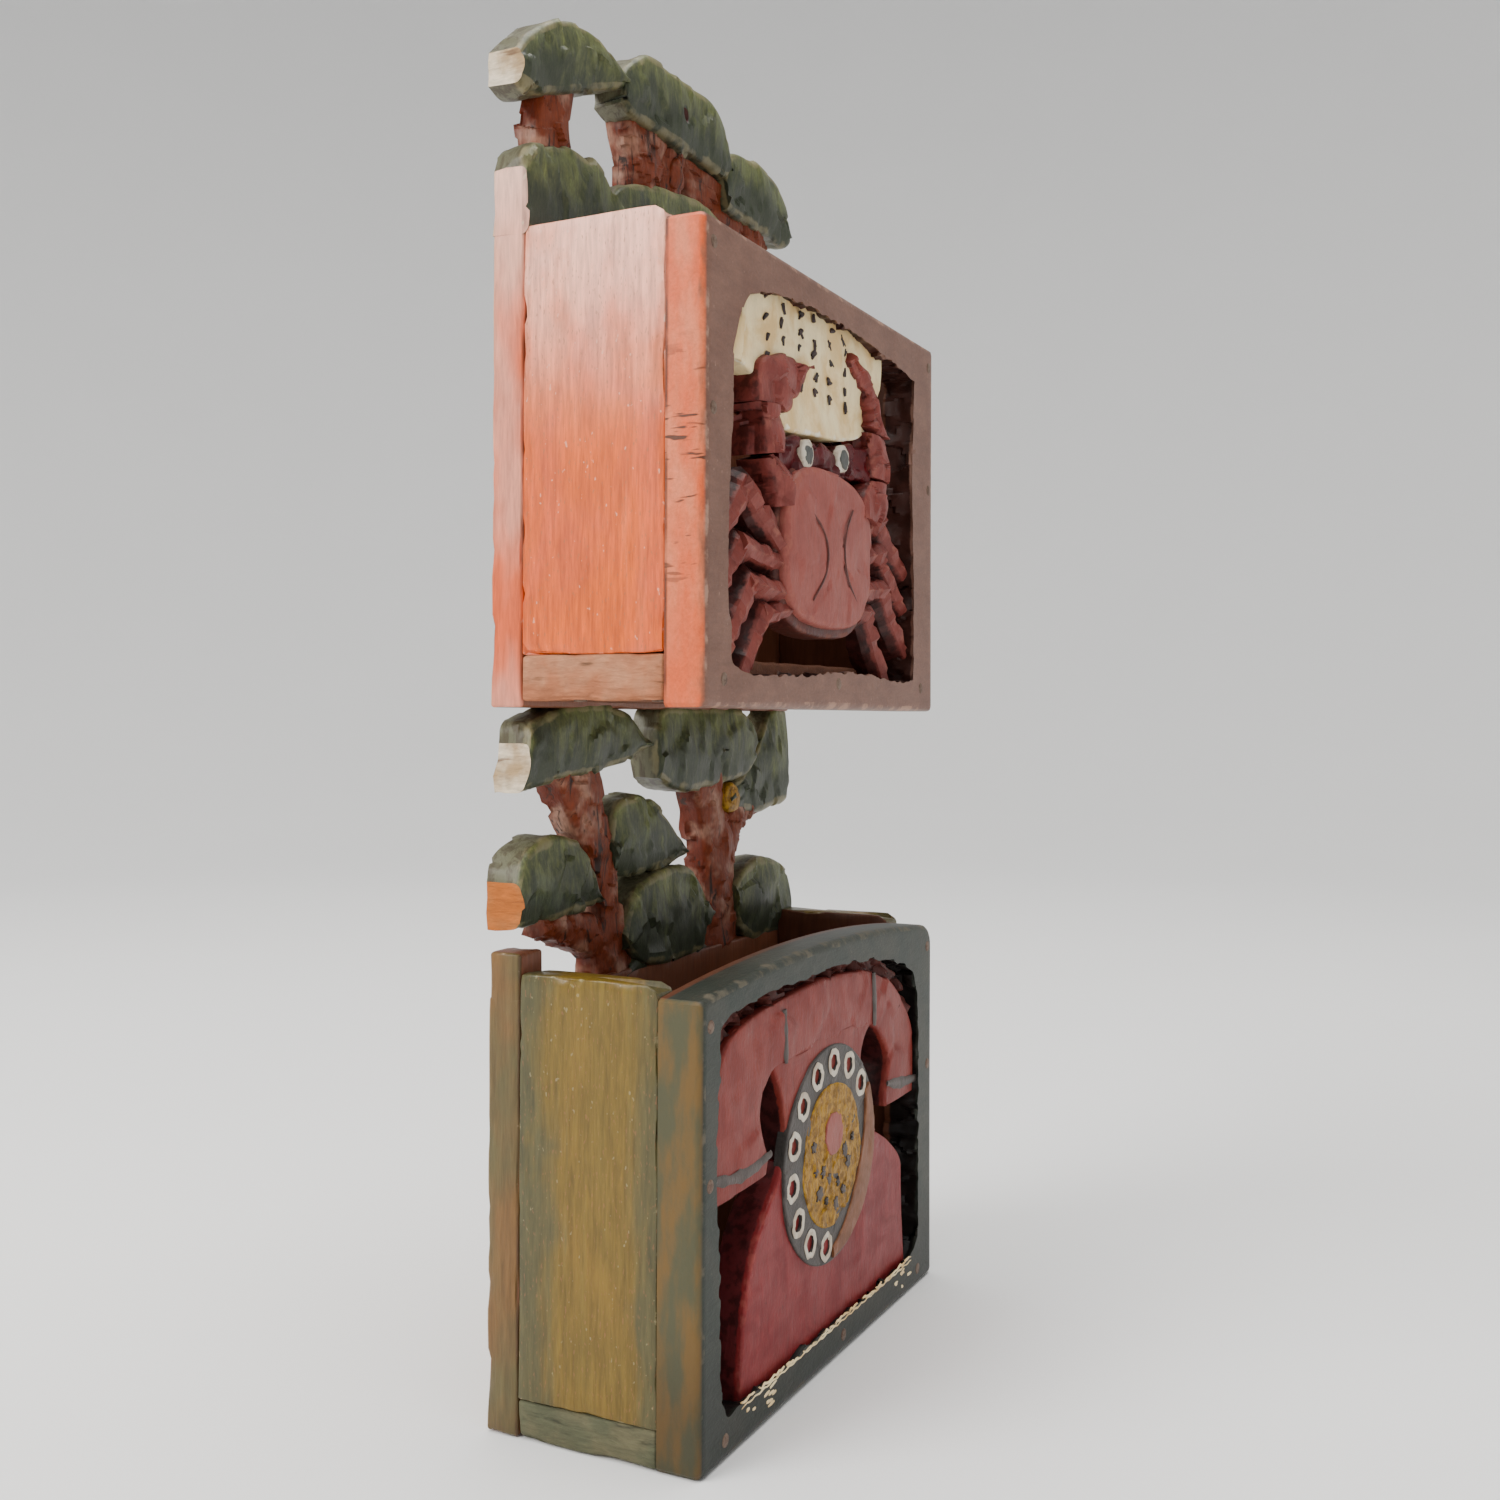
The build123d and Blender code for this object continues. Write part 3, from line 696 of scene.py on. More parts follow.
def bark_paint():
    """Trunk paint: pinkish brown with upright dark cracks; redder on the flanks, with painted shade
    darkening them.
    """
    rack = rack_settings()
    p = Paint("trunk_brown_paint", 0.55, 0.15)
    crack = p.noise(4.2, (1, 1, 6), 4.0, 0.65, 1.0)
    cloud = p.noise(13.0, detail=3.0, shift=3.0)
    fine = p.noise(0.9, (1, 1, 3), 2.0, shift=6.0)
    # The flanks take a redder tone darkened as painted shade.
    colour = p.mix(p.mark("flank"), rack.bark, rack.bark_flank)
    colour = p.mix(cloud.step(0.5, 0.7) * 0.6, colour, (0.40, 0.24, 0.17))
    colour = p.mix(crack.step(0.44, 0.34), colour, (0.025, 0.01, 0.006))
    colour = p.tint(colour, 1.0 + (fine - 0.5) * 1.1)
    bare = p.bare(0.6, cloud, 1.6, 0.72, 0.98)
    colour = p.mix(bare * 0.6, colour, (0.36, 0.14, 0.075))
    return p.finish(colour, 0.5 + crack * 0.25, crack, 0.9)


def board_back():
    """The back board: varnish on its outer edges, dark stain inside the pockets, bare behind."""
    p = Paint("back_board_stain", 0.5, 0.2)
    grain = p.noise(1.6, (1, 1, 9), 4.0, 0.65, 0.3)
    patch = p.noise(24.0, (1, 1, 2), 3.0, shift=3.0)
    warm = p.mix(patch.step(0.36, 0.64), rack_settings().salmon, (0.62, 0.23, 0.15))
    # Painted sheen: the varnished edge is lightened towards its top, as a highlight.
    warm = p.mix(p.z.step(330.0, 412.0) * 0.8, warm, (0.78, 0.52, 0.40))
    low = p.mix(patch.step(0.36, 0.64), (0.08, 0.068, 0.026), (0.14, 0.072, 0.022))
    edge = p.mix(p.z.step(180.0, 210.0), low, warm)
    edge = p.tint(edge, 1.0 + (grain - 0.5) * 1.2)
    gap = p.y.step(BACK_LOW[1] + 1.2, BACK_LOW[1] + 0.4)
    seam = gap * p.noise(9.0, (1, 1, 3), shift=7.0).step(0.35, 0.6)
    edge = p.mix(seam * 0.7, edge, (0.06, 0.025, 0.012))
    inside = p.tint(p.mix(patch, (0.13, 0.04, 0.02), (0.21, 0.075, 0.035)), 1.0 + (grain - 0.5) * 0.8)
    face = abs(p.x).step(HALF - 1.8, HALF - 0.8)
    colour = p.mix(face, inside, edge)
    behind = p.y.step(BACK_Y - 0.9, BACK_Y - 0.3)
    colour = p.mix(behind * 0.85, colour, p.tint(p.mix(patch, (0.42, 0.27, 0.16), (0.52, 0.36, 0.22)),
                                                 1.0 + (grain - 0.5) * 0.9))
    bare = p.bare(0.8, p.noise(5.0, detail=4.0, shift=4.0), 1.6, 0.82, 1.1)
    colour = p.mix(bare * face, colour, (0.52, 0.38, 0.25))
    return p.finish(colour, 0.5 + (patch - 0.5) * 0.2, grain, 0.3)


def frame_coat(name, tones, jamb, worn, blot):
    """A panel frame's paint: two tones in blots outside, and in the opening a jamb darkened with depth,
    partly its own dark paint and partly painted shade.

    Gives back the material under construction and the values that the outer edges go on from.
    """
    p = Paint(name, 0.5, 0.08)
    cloud = p.noise(blot, detail=4.0, rough=0.6, warp=0.6).step(0.36, 0.66)
    brush = p.noise(3.0, (3, 1, 1), 3.0, 0.6, 0.4, shift=3.0)
    fine = p.noise(0.9, (2, 1, 1), 2.0, 0.7, shift=7.0)
    colour = p.tint(p.mix(cloud, *tones), 1.0 + (brush - 0.5) * 0.55 + (fine - 0.5) * 0.5)
    bare = p.bare(0.8, p.noise(6.0, detail=4.0, shift=1.7), 1.6, 0.76, 1.05)
    fleck = p.noise(1.4, (1, 1, 1.4), 1.0, 0.5, shift=11.0).step(0.73, 0.79)
    colour = p.mix(bare + fleck * 0.5, colour, worn)
    # Painted shade, with the jamb's own dark paint: the opening's jamb darkens deeper in.
    deep = (p.mark("jamb") + (brush - 0.5) * 0.8).step(0.25, 0.6)
    colour = p.mix(deep, colour, p.mix(cloud, jamb, tuple(0.4 * c for c in jamb)))
    inside = p.tint(rack_settings().inside, 1.0 + (brush - 0.5) * 0.6)
    colour = p.mix(p.y.step(-26.4, -25.4), colour, inside)
    side = abs(p.x).step(HALF - 1.6, HALF - 0.6)
    return p, colour, side, brush, fine, bare


def mauve_frame():
    """The upper frame: mauve in front; salmon, brown smears and dark checks on its outer edges."""
    rack = rack_settings()
    p, colour, side, brush, fine, bare = frame_coat(
        "mauve_frame_paint", (rack.mauve, (0.15, 0.072, 0.05)), (0.045, 0.014, 0.01),
        (0.36, 0.21, 0.15), 20.0)
    blush = p.noise(9.0, (1, 1, 3), 4.0, shift=2.0).step(0.35, 0.7)
    band = p.mix(blush, rack.salmon, (0.64, 0.17, 0.075))
    smear = (p.noise(5.0, (1, 1, 3), 4.0, shift=6.0) - 0.5) * 2.4
    brown = ((p.y * -1.0 - 30.5) * 0.12 + smear).step(0.7, 1.25)
    band = p.mix(brown * 0.75, band, (0.20, 0.085, 0.05))
    gap = p.y.step(UPPER_HIGH[1] - 1.3, UPPER_HIGH[1] - 0.5)
    seam = gap * p.noise(9.0, (1, 1, 3), shift=7.0).step(0.3, 0.55)
    band = p.mix(seam * 0.85, band, (0.05, 0.018, 0.01))
    check = p.noise(2.4, (5, 5, 1), 2.0, shift=4.0).step(0.61, 0.68)
    check = check * p.z.step(258, 276) * p.z.step(346, 322)
    band = p.tint(band, 1.0 + (brush - 0.5) * 0.4 + (fine - 0.5) * 0.5)
    band = p.mix(check, band, (0.09, 0.03, 0.015))
    colour = p.mix(side, colour, band)
    p.finish(colour, 0.5 + bare * 0.15, brush * 0.6 + fine * 0.4, 0.35)


def slate_frame():
    """The lower frame: slate in front; ochre and olive on its outer edges; painted shade darkens it towards
    its foot.
    """
    rack = rack_settings()
    p, colour, side, brush, fine, bare = frame_coat(
        "slate_frame_paint", (rack.slate, (0.036, 0.038, 0.029)), (0.012, 0.008, 0.007),
        (0.10, 0.088, 0.062), 26.0)
    streak = p.noise(6.0, (1, 1, 4), 4.0, shift=2.0).step(0.35, 0.62)
    colour = p.mix(side, colour, p.mix(streak, (0.125, 0.072, 0.02), (0.062, 0.06, 0.03)))
    # Painted shade: the frame darkens towards its foot.
    colour = p.tint(colour, 1.0 - p.z.step(50.0, 12.0) * 0.35)
    p.finish(colour, 0.5 + bare * 0.15, brush * 0.6 + fine * 0.4, 0.35)


def dial_paint():
    """The dial: warm black in two tones, with painted shade darkening its finger holes."""
    p = Paint("dial_paint", 0.5, 0.15)
    cloud, fine = p.noise(9.0, detail=4.0), p.noise(1.0, detail=2.0, shift=5.0)
    colour = p.mix(cloud.step(0.38, 0.64), (0.06, 0.05, 0.045), (0.04, 0.036, 0.033))
    colour = p.tint(colour, 1.0 + (fine - 0.5) * 0.6)
    # Painted shade: the finger holes are painted near black.
    colour = p.mix(p.mark("hole").step(0.05, 0.35), colour, (0.012, 0.007, 0.006))
    p.finish(colour, None, fine, 0.25)


def finishes():
    """Every material of the rack, made once; the iron nail's is the last."""
    if "iron_nail" in FINISHES:
        return FINISHES
    rack = rack_settings()
    pine_paint()
    bark_paint()
    board_back()
    # The orange varnish carries a painted sheen near the top of the upper pocket.
    varnish("orange_varnish", rack.salmon, rack.orange, SALMON_PALE, (0.78, 0.46, 0.34), painted_sheen=0.72)
    varnish("olive_stain", rack.ochre_stain, (0.21, 0.122, 0.013), (0.10, 0.092, 0.02), (0.30, 0.25, 0.13),
            speckle=0.3)
    end_grain("bare_end_grain", (0.34, 0.12, 0.055), (0.08, 0.04, 0.02), (0.40, 0.18, 0.095))
    end_grain("grey_green_stain", (0.075, 0.078, 0.044), (0.015, 0.015, 0.01), (0.11, 0.10, 0.055))
    end_grain("pale_broken_wood", (0.34, 0.23, 0.12), (0.12, 0.06, 0.03), (0.66, 0.56, 0.42))
    end_grain("orange_end", (0.36, 0.10, 0.016), (0.10, 0.04, 0.015), (0.38, 0.14, 0.04))
    mauve_frame()
    slate_frame()
    # The flank colours below carry painted shade on the cut sides, besides their own darker paint.
    paint_coat("body_paint", (0.20, 0.016, 0.017), (0.155, 0.012, 0.014), (0.38, 0.11, 0.085), blot=15.0,
               wear=0.3, flank=(0.10, 0.014, 0.016))
    paint_coat("handset_paint", (0.19, 0.026, 0.018), (0.165, 0.021, 0.016), (0.25, 0.06, 0.042),
               blot=15.0, wear=0.3, flank=(0.05, 0.01, 0.01))
    dial_paint()
    paint_coat("brick_red_paint", rack.brick, (0.25, 0.062, 0.05), (0.38, 0.14, 0.10), blot=15.0,
               wear=0.35, flank=(0.15, 0.028, 0.022))
    paint_coat("limb_red_paint", (0.215, 0.048, 0.038), (0.16, 0.032, 0.026), (0.32, 0.11, 0.08), blot=9.0,
               wear=0.4, flank=(0.17, 0.032, 0.026))
    paint_coat("leg_red_paint", (0.20, 0.044, 0.034), (0.15, 0.03, 0.024), (0.34, 0.13, 0.095), blot=9.0,
               wear=0.5, flank=(0.055, 0.012, 0.01))
    paint_coat("maroon_paint", (0.06, 0.014, 0.011), (0.10, 0.026, 0.02), (0.15, 0.05, 0.035), blot=6.0)
    paint_coat("crimson_paint", (0.085, 0.004, 0.006), (0.05, 0.003, 0.005), (0.11, 0.01, 0.01),
               blot=7.0, coat=0.04, roughness=0.4, flank=(0.03, 0.003, 0.004))
    paint_coat("cream_paint", rack.cream, (0.74, 0.50, 0.22), (0.90, 0.82, 0.66), blot=18.0, speck=0.12,
               grain=0.12, dark=(0.30, 0.20, 0.11))
    paint_coat("white_paint", (0.60, 0.55, 0.45), (0.46, 0.38, 0.29), (0.72, 0.66, 0.56), blot=6.0,
               speck=0.1, grain=0.1, dark=(0.24, 0.18, 0.14), flank=(0.07, 0.006, 0.008))
    paint_coat("ochre_paint", (0.35, 0.18, 0.006), (0.17, 0.078, 0.004), (0.40, 0.22, 0.015), blot=2.6,
               grain=0.6, speck=0.8, relief=0.9)
    paint_coat("stop_brown_paint", (0.19, 0.07, 0.03), (0.15, 0.058, 0.026), (0.24, 0.11, 0.055), blot=9.0)
    paint_coat("ring_slate_paint", (0.07, 0.052, 0.046), (0.055, 0.045, 0.04), (0.10, 0.075, 0.06),
               blot=9.0)
    paint_coat("pupil_slate_paint", (0.085, 0.085, 0.078), (0.065, 0.07, 0.066), (0.11, 0.11, 0.10),
               blot=4.0)
    paint_coat("dark_paint", (0.03, 0.022, 0.02), (0.05, 0.03, 0.028), (0.10, 0.06, 0.05), blot=6.0)
    paint_coat("iron_nail", (0.16, 0.11, 0.08), (0.09, 0.05, 0.035), (0.30, 0.20, 0.14), blot=2.0,
               coat=0.0, roughness=0.6)
    return FINISHES


# ---------------------------------------------------------------- the pieces

def put(shape, name, finish, slot, replaces=(), others=(), sharp=SHARP_ANGLE):
    """Builds a shape with a named finish; others are further finishes for its next slots."""
    made = finishes()
    materials = [made[m] for m in (finish,) + tuple(others)]
    return shape.build(name, materials, slot, replaces, sharp)


def knife_work(grid, size, depth, seed):
    """Heights of the knife facets plus 0.4 of a ripple three times as broad."""
    return cuts(grid, size, depth, seed) + ripple(grid, size * 3, seed + 9) * depth * 0.4


def shift(points, by):
    """Points of a drawing moved to their place on the board."""
    return np.asarray(points, float) + by


def depth_share(surface):
    """0 on a slab's face, 1 on the parts of its flanks more than 3.6 mm below it."""
    # The flank paints use this share as painted shade, darker deeper down the cut sides.
    return np.clip((surface[..., 1].max() - surface[..., 1] - 1.4) / 2.2, 0, 1)


def carved_slab(name, a, b, by, back_y, thick, finish, slot, seed, count=60, rim=1.6, bow=0.8,
                strips=10, size=7.0, depth=0.8, back=0.0, curved=True, ends=(0, 0), others=(),
                sharp=SHARP_ANGLE):
    """One carved slab between two drawn outlines, which run the same way and may end apart.

    ends gives the finish of the two end faces: 0 for the slab's own, then those in others.
    """
    line = smooth if curved else straight
    side_a = straight(line(shift(a, by), count * 3), count)
    side_b = straight(line(shift(b, by), count * 3), count)
    grid, worn = slab(side_a, side_b, thick, rim, bow, strips, back)
    # flank drives the cut sides' darker paint and their painted shade.
    flank = depth_share(grid)
    grid = grid + outward(grid) * knife_work(grid, size, depth, seed)[..., None]
    shape = Shape()
    # height runs from 0 at a slab's foot to 1 at its top; the crown paint uses it for painted light.
    tall = (grid[..., 2] - grid[..., 2].min()) / max(np.ptp(grid[..., 2]), 1e-6)
    shape.grid(place(grid, back_y), caps=ends, worn=worn, height=tall, flank=flank)
    return put(shape, name, finish, slot, others=others, sharp=sharp)


def pad_piece(name, outline, centre, by, back_y, face, finish, slot, seed, rim=1.2, bow=0.8,
              rings=14, back=0.0, size=7.0, depth=0.5, count=96):
    """One carved pad with a single closed outline."""
    loop = straight(smooth(shift(outline, by), count * 3, closed=True), count, closed=True)
    grid, worn = pad(loop, shift(centre, by), face, rim, bow, rings, back)
    lift = knife_work(grid, size, depth, seed)
    top = grid[..., 1] > face - rim - 0.01
    grid = grid + np.stack([np.zeros_like(lift), lift * top, np.zeros_like(lift)], axis=-1)
    shape = Shape()
    # flank marks the pad's sides for their darker paint and painted shade.
    shape.grid(place(grid, back_y), worn=worn, flank=1.0 - top)
    return put(shape, name, finish, slot)


def circle(centre, radius, count=64, wobble=0.0, seed=3):
    """A hand-drawn circle: its radius wanders by wobble."""
    way = unit(full_turn(count))
    return centre + way * (radius + ripple(way * 10, 9.0, seed) * wobble)[:, None]


def stroke(path, width, face, rise, count, curved, seed):
    """A brush stroke: a lens-shaped ridge along a path, tapering and wandering as a hand does."""
    line = straight((smooth if curved else straight)(path, 120), count)
    share = np.linspace(0, 1, count)
    w = width * (0.45 + 0.55 * np.sin(np.pi * np.clip(share, 0.02, 0.98)) ** 0.5)
    w = w * (1 + 0.3 * ripple(line, 7.0, seed))
    across = np.array([-0.5, -0.3, 0, 0.3, 0.5, 0.0])
    lift = np.array([0.0, 0.75, 1.0, 0.75, 0.0, -0.8])
    flat = line[:, None] + sideways(line)[:, None] * (across * w[:, None])[..., None]
    return raised(flat, np.asarray(face, float).reshape(-1, 1) + lift * rise)


def strokes(name, paths, width, face, by, back_y, finish, slot, rise=0.35, curved=True, count=24):
    """Several brush strokes as one piece; face is one height or a function of the path."""
    shape = Shape()
    for k, path in enumerate(paths):
        line = shift(path, by)
        high = face(line, count) if callable(face) else face
        grid = stroke(line, width, high, rise, count, curved, 5 + k)
        shape.grid(place(grid, back_y), caps=(0, 0), worn=0.0)
    return put(shape, name, finish, slot)


def plain_board(name, low, high, finish, slot, replaces, seed, round_edge, nose=0.0, wave=0.25,
                step=3.0):
    """One flat board that stands in for CAD nodes of the same box."""
    shape = Shape()
    grid, worn = board(low, high, round_edge, step, nose, wave, seed)
    shape.grid(grid, worn=worn, height=0.5, flank=0.0)
    return put(shape, name, finish, slot, replaces)


def build_boards():
    """The side boards, the bottom boards and the two solid lengths of the back board."""
    side_edge = rack_settings().side_edge / MM
    for floor, finish, base in (("lower", "olive_stain", "grey_green_stain"),
                                ("upper", "orange_varnish", "bare_end_grain")):
        for hand in ("left", "right"):
            node = f"{floor}_{hand}_side"
            low, high = node_box(node)
            plain_board(node + "_board", low, high, finish, finish, (node,), seed=len(node),
                        round_edge=side_edge, nose=5.0)
        node = f"{floor}_bottom"
        low, high = node_box(node)
        plain_board(node + "_board", low, high, base, base, (node,), seed=31, round_edge=1.0,
                    wave=0.5)
    front_y = BACK_LOW[1]
    for name, left, right, bottom, top in (
            ("back_board_behind_lower_pocket", -HALF, HALF, 0.0, GROVE_AT[1]),
            ("back_board_behind_upper_pocket", -HALF, HALF, UPPER_LOW[2], UPPER_TOP),
            ("back_board_stub", -HALF, STUB_WIDTH - HALF, STUB_FOOT, STUB_TOP)):
        plain_board(name, (left, front_y, bottom), (right, BACK_Y, top), "back_board_stain",
                    "orange_varnish", ("back_board",) if "lower" in name else (), seed=41,
                    round_edge=0.9, wave=0.3, step=4.0)


# Each crown: its upper line and its underside, both drawn from left to right, how far it stands
# proud of the board, and the finishes of its left and right ends where they differ from its own.
GROVE_CROWNS = {
    "A": ([(-100, 36), (-98, 42), (-92, 47), (-80, 50), (-66, 47), (-57, 39), (-50, 27)],
          [(-100, 21), (-88, 22), (-74, 22), (-62, 24), (-51, 25)], 0.0, ("orange_end", None)),
    "B": ([(-95, 80), (-93, 86), (-84, 90), (-70, 93), (-46, 93), (-32, 89), (-18, 80)],
          [(-98, 64), (-90, 66), (-70, 68), (-50, 70), (-32, 73), (-19, 78)], 0.0,
          ("pale_broken_wood", None)),
    "C": ([(-43, 46), (-40, 57), (-30, 61), (-16, 59), (-2, 51), (10, 39)],
          [(-41, 32), (-30, 32), (-18, 33), (-8, 34), (2, 36), (9, 37.5)], -0.6, (None, None)),
    "D": ([(-37, 13), (-33, 22), (-26, 29), (-10, 33), (6, 33), (18, 26), (28, 15)],
          [(-34, 7), (-24, 1), (-10, -1), (6, -1), (20, 0), (27, 12)], 1.2, (None, None)),
    "E": ([(-12, 84), (-8, 92), (10, 93), (40, 93), (60, 91), (72, 82)],
          [(-12, 66), (0, 62), (20, 61), (44, 63), (62, 66), (71, 76)], 0.4, (None, None)),
    "F": ([(46, 58), (50, 62), (60, 67), (72, 77), (82, 89), (90, 93), (100, 93)],
          [(44, 54), (56, 52), (70, 50), (80, 51), (90, 52), (96, 52), (100, 53)], -0.8, (None, None)),
    "G": ([(51, 22), (60, 28), (72, 31), (84, 30), (94, 27), (100, 23)],
          [(51, 10), (58, 2), (68, -2), (80, -2), (92, -2), (100, -1)], 0.6, (None, None)),
}
CREST_CROWNS = {
    "H": ([(-100, 19), (-96, 26), (-88, 30), (-70, 34), (-54, 32), (-41, 24)],
          [(-100, -2), (-86, -2), (-72, -2), (-60, -2), (-50, -2), (-40, -1)], 1.0,
          ("back_board_stain", None)),
    "I": ([(-46, 26), (-38, 32), (-24, 37), (-4, 41), (20, 43), (44, 41), (78, 36), (100, 27)],
          [(-48, -2), (-30, -2), (-10, -2), (20, -2), (50, -2), (78, -2), (92, -2), (100, -1)], 0.0,
          (None, None)),
    "J": ([(-103, 56), (-98, 62), (-90, 68), (-78, 75), (-66, 78), (-54, 77), (-38, 71)],
          [(-103, 45), (-94, 44), (-80, 49), (-68, 54), (-58, 58), (-48, 62), (-38, 66)], 0.6,
          ("pale_broken_wood", None)),
    "K": ([(-40, 64), (-39, 73), (-30, 80), (-20, 84), (10, 84.2), (28, 83.6), (38, 76), (44, 66)],
          [(-40, 60), (-32, 58), (-22, 58), (-8, 58), (10, 58), (28, 58), (38, 58), (44, 60)], 1.0,
          (None, None)),
    "L": ([(40, 60), (43, 69), (52, 73), (66, 74), (84, 72), (94, 65), (100, 54)],
          [(41, 47), (50, 46), (62, 46), (74, 46), (84, 46), (94, 46), (100, 49)], 0.0, (None, None)),
}
# Each trunk: its left and right borders, both drawn upwards, and how far it lies back.
GROVE_TRUNKS = {
    "left": ([(-48, -3), (-49, 8), (-46, 22), (-52, 33), (-60, 46), (-68, 58), (-77, 72)],
             [(-24, -3), (-28, 10), (-33, 22), (-37, 34), (-41, 48), (-44, 58), (-48, 72)], 1.8),
    "branch": ([(-36, 12), (-46, 19), (-60, 23), (-82, 25)], [(-40, 0), (-52, 7), (-64, 11), (-82, 17)],
               2.6),
    "right": ([(26, -3), (29, 10), (30, 22), (30, 36), (26, 48), (22, 58), (20, 67)],
              [(57, -3), (55, 12), (54, 24), (53, 36), (50, 46), (46, 56), (43, 67)], 1.6),
    "right_arm": ([(44, 30), (46, 42), (52, 52), (62, 56)], [(54, 22), (60, 38), (68, 46), (80, 50)], 2.8),
}
CREST_TRUNKS = {
    "left": ([(-87, 26), (-88, 36), (-86, 46), (-84, 57)], [(-68, 26), (-70, 36), (-69, 46), (-66, 60)],
             2.0),
    "middle": ([(-25, 30), (-27, 40), (-30, 50), (-32, 60)], [(-8, 34), (-8, 44), (-6, 52), (-2, 60)],
               1.6),
    "slim": ([(-7, 34), (-7, 44), (-8, 52), (-9, 60)], [(8, 36), (8, 44), (10, 52), (12, 60)], 2.8),
    "wide": ([(19, 32), (17, 40), (14, 48), (10, 58)], [(68, 34), (66, 42), (65, 48), (62, 56)], 3.2),
    "right": ([(58, 28), (60, 38), (60, 46), (60, 54)], [(89, 28), (84, 38), (80, 46), (77, 54)], 1.8),
}


def drill(piece, centre, radius):
    """Bores a round hole through a piece along Y, with dark walls."""
    run = np.linspace(BACK_LOW[1] - 12.0, BACK_Y + 12.0, 5)
    ring = np.asarray(centre) + radius * unit(full_turn(40))
    grid = raised(np.broadcast_to(ring, (len(run), *ring.shape)), run[:, None])
    shape = Shape()
    shape.grid(grid, caps=(0, 0), worn=0.0)
    cutter = put(shape, "drill", "maroon_paint", "brick_red_paint")
    hole = piece.modifiers.new("hole", "BOOLEAN")
    hole.operation, hole.object = "DIFFERENCE", cutter
    hole.solver, hole.material_mode = "EXACT", "TRANSFER"
    graph = bpy.context.evaluated_depsgraph_get()
    mesh = bpy.data.meshes.new_from_object(piece.evaluated_get(graph), depsgraph=graph)
    piece.modifiers.clear()
    piece.data = mesh
    bpy.data.objects.remove(cutter)


def build_trees():
    """The cut-out pines between and above the pockets."""
    for field, crowns, by in (("grove", GROVE_CROWNS, GROVE_AT), ("crest", CREST_CROWNS, CREST_AT)):
        for k, (key, (top, under, proud, ends)) in enumerate(crowns.items()):
            others = tuple(e for e in ends if e)
            caps = tuple(1 + others.index(e) if e else 0 for e in ends)
            carved_slab(f"{field}_crown_{key}", top, under, by, BACK_Y, BOARD + proud,
                        "pine_green_paint", "pine_green_paint", seed=60 + 7 * k + len(field),
                        rim=2.4, bow=1.0, strips=12, size=8.0, depth=0.9, others=others, ends=caps,
                        sharp=32.0)
    drill(bpy.data.objects["crest_crown_K"], HOLE_AT, HOLE_RADIUS)
    for field, trunks, by in (("grove", GROVE_TRUNKS, GROVE_AT), ("crest", CREST_TRUNKS, CREST_AT)):
        for k, (key, (left, right, sunk)) in enumerate(trunks.items()):
            carved_slab(f"{field}_trunk_{key}", left, right, by, BACK_Y, BOARD - sunk,
                        "trunk_brown_paint", "trunk_brown_paint", seed=90 + 5 * k, rim=3.0, bow=0.8,
                        strips=10, size=6.0, depth=1.1, sharp=30.0)
    mound_top = [(-34, -2), (-24, 4), (-10, 8), (6, 8), (20, 5), (32, -1)]
    mound_low = [(-34, -3), (-20, -3), (-6, -3), (6, -3), (20, -3), (32, -3)]
    carved_slab("grove_mound", mound_top, mound_low, GROVE_AT, BACK_Y, BOARD - 1.0,
                "pine_green_paint", "pine_green_paint", seed=17, rim=1.5, bow=0.3)
    pad_piece("grove_crown_E_boss", circle((36, 76), 1.0, 48), (36, 76), GROVE_AT, BACK_Y,
              BOARD + 2.6, "pine_green_paint", "pine_green_paint", seed=12, rim=1.5, bow=1.4)
    nub = [(42, 54), (43, 60), (47, 63), (52, 61), (55, 57), (53, 52), (46, 51)]
    pad_piece("grove_nub", nub, (48, 57), GROVE_AT, BACK_Y, BOARD - 0.2, "ochre_paint",
              "ochre_paint", seed=14, rim=1.4, bow=1.0, back=5.0, count=48)
    knob = [(-3, 44), (-1, 52), (3, 55), (6, 50), (6, 44), (1, 42)]
    pad_piece("crest_knob", knob, (1.5, 48), CREST_AT, BACK_Y, BOARD - 0.4, "trunk_brown_paint",
              "trunk_brown_paint", seed=15, rim=1.6, bow=1.2, count=48)


def panel_frame(name, node, outer, opening, middle, nick, finish, slot, seed):
    """A front panel's frame round its opening; nick is the edge's unevenness as size, seed, height."""
    low, high = node_box(node)
    thick = high[1] - low[1]
    size, nick_seed, height = nick
    inner = straight(smooth(opening, 700, closed=True), 500, closed=True)
    inner = inner + ripple(inner, size, nick_seed)[:, None] * height
    grid, worn = ring_frame(outer, inner, middle, thick, FRAME_EDGE, seed)
    # The jamb mark grows with depth into the opening, where the frame paint lays painted shade with the
    # jamb's own dark paint.
    deep = np.broadcast_to(np.clip((thick - 0.4 - grid[..., 1]) / 2, 0, 1), worn.shape)
    inside = (np.arange(grid.shape[1]) > 11) * 1.0
    shape = Shape()
    shape.grid(place(grid, high[1]), wrap_rows=True, worn=worn, jamb=deep * inside)
    put(shape, name, finish, slot, (node,), sharp=34.0)


# ---------------------------------------------------------------- the crab pocket's front

CRAB_OPENING = [(-74, 0), (-30, -1), (20, 1), (60, -1), (78, 0), (81, 4), (81.5, 40), (80, 80), (81, 116),
                (78, 121), (44, 125), (0, 127), (-34, 126), (-66, 120), (-78, 101), (-79, 80),
                (-82, 50), (-82, 26), (-80, 12)]
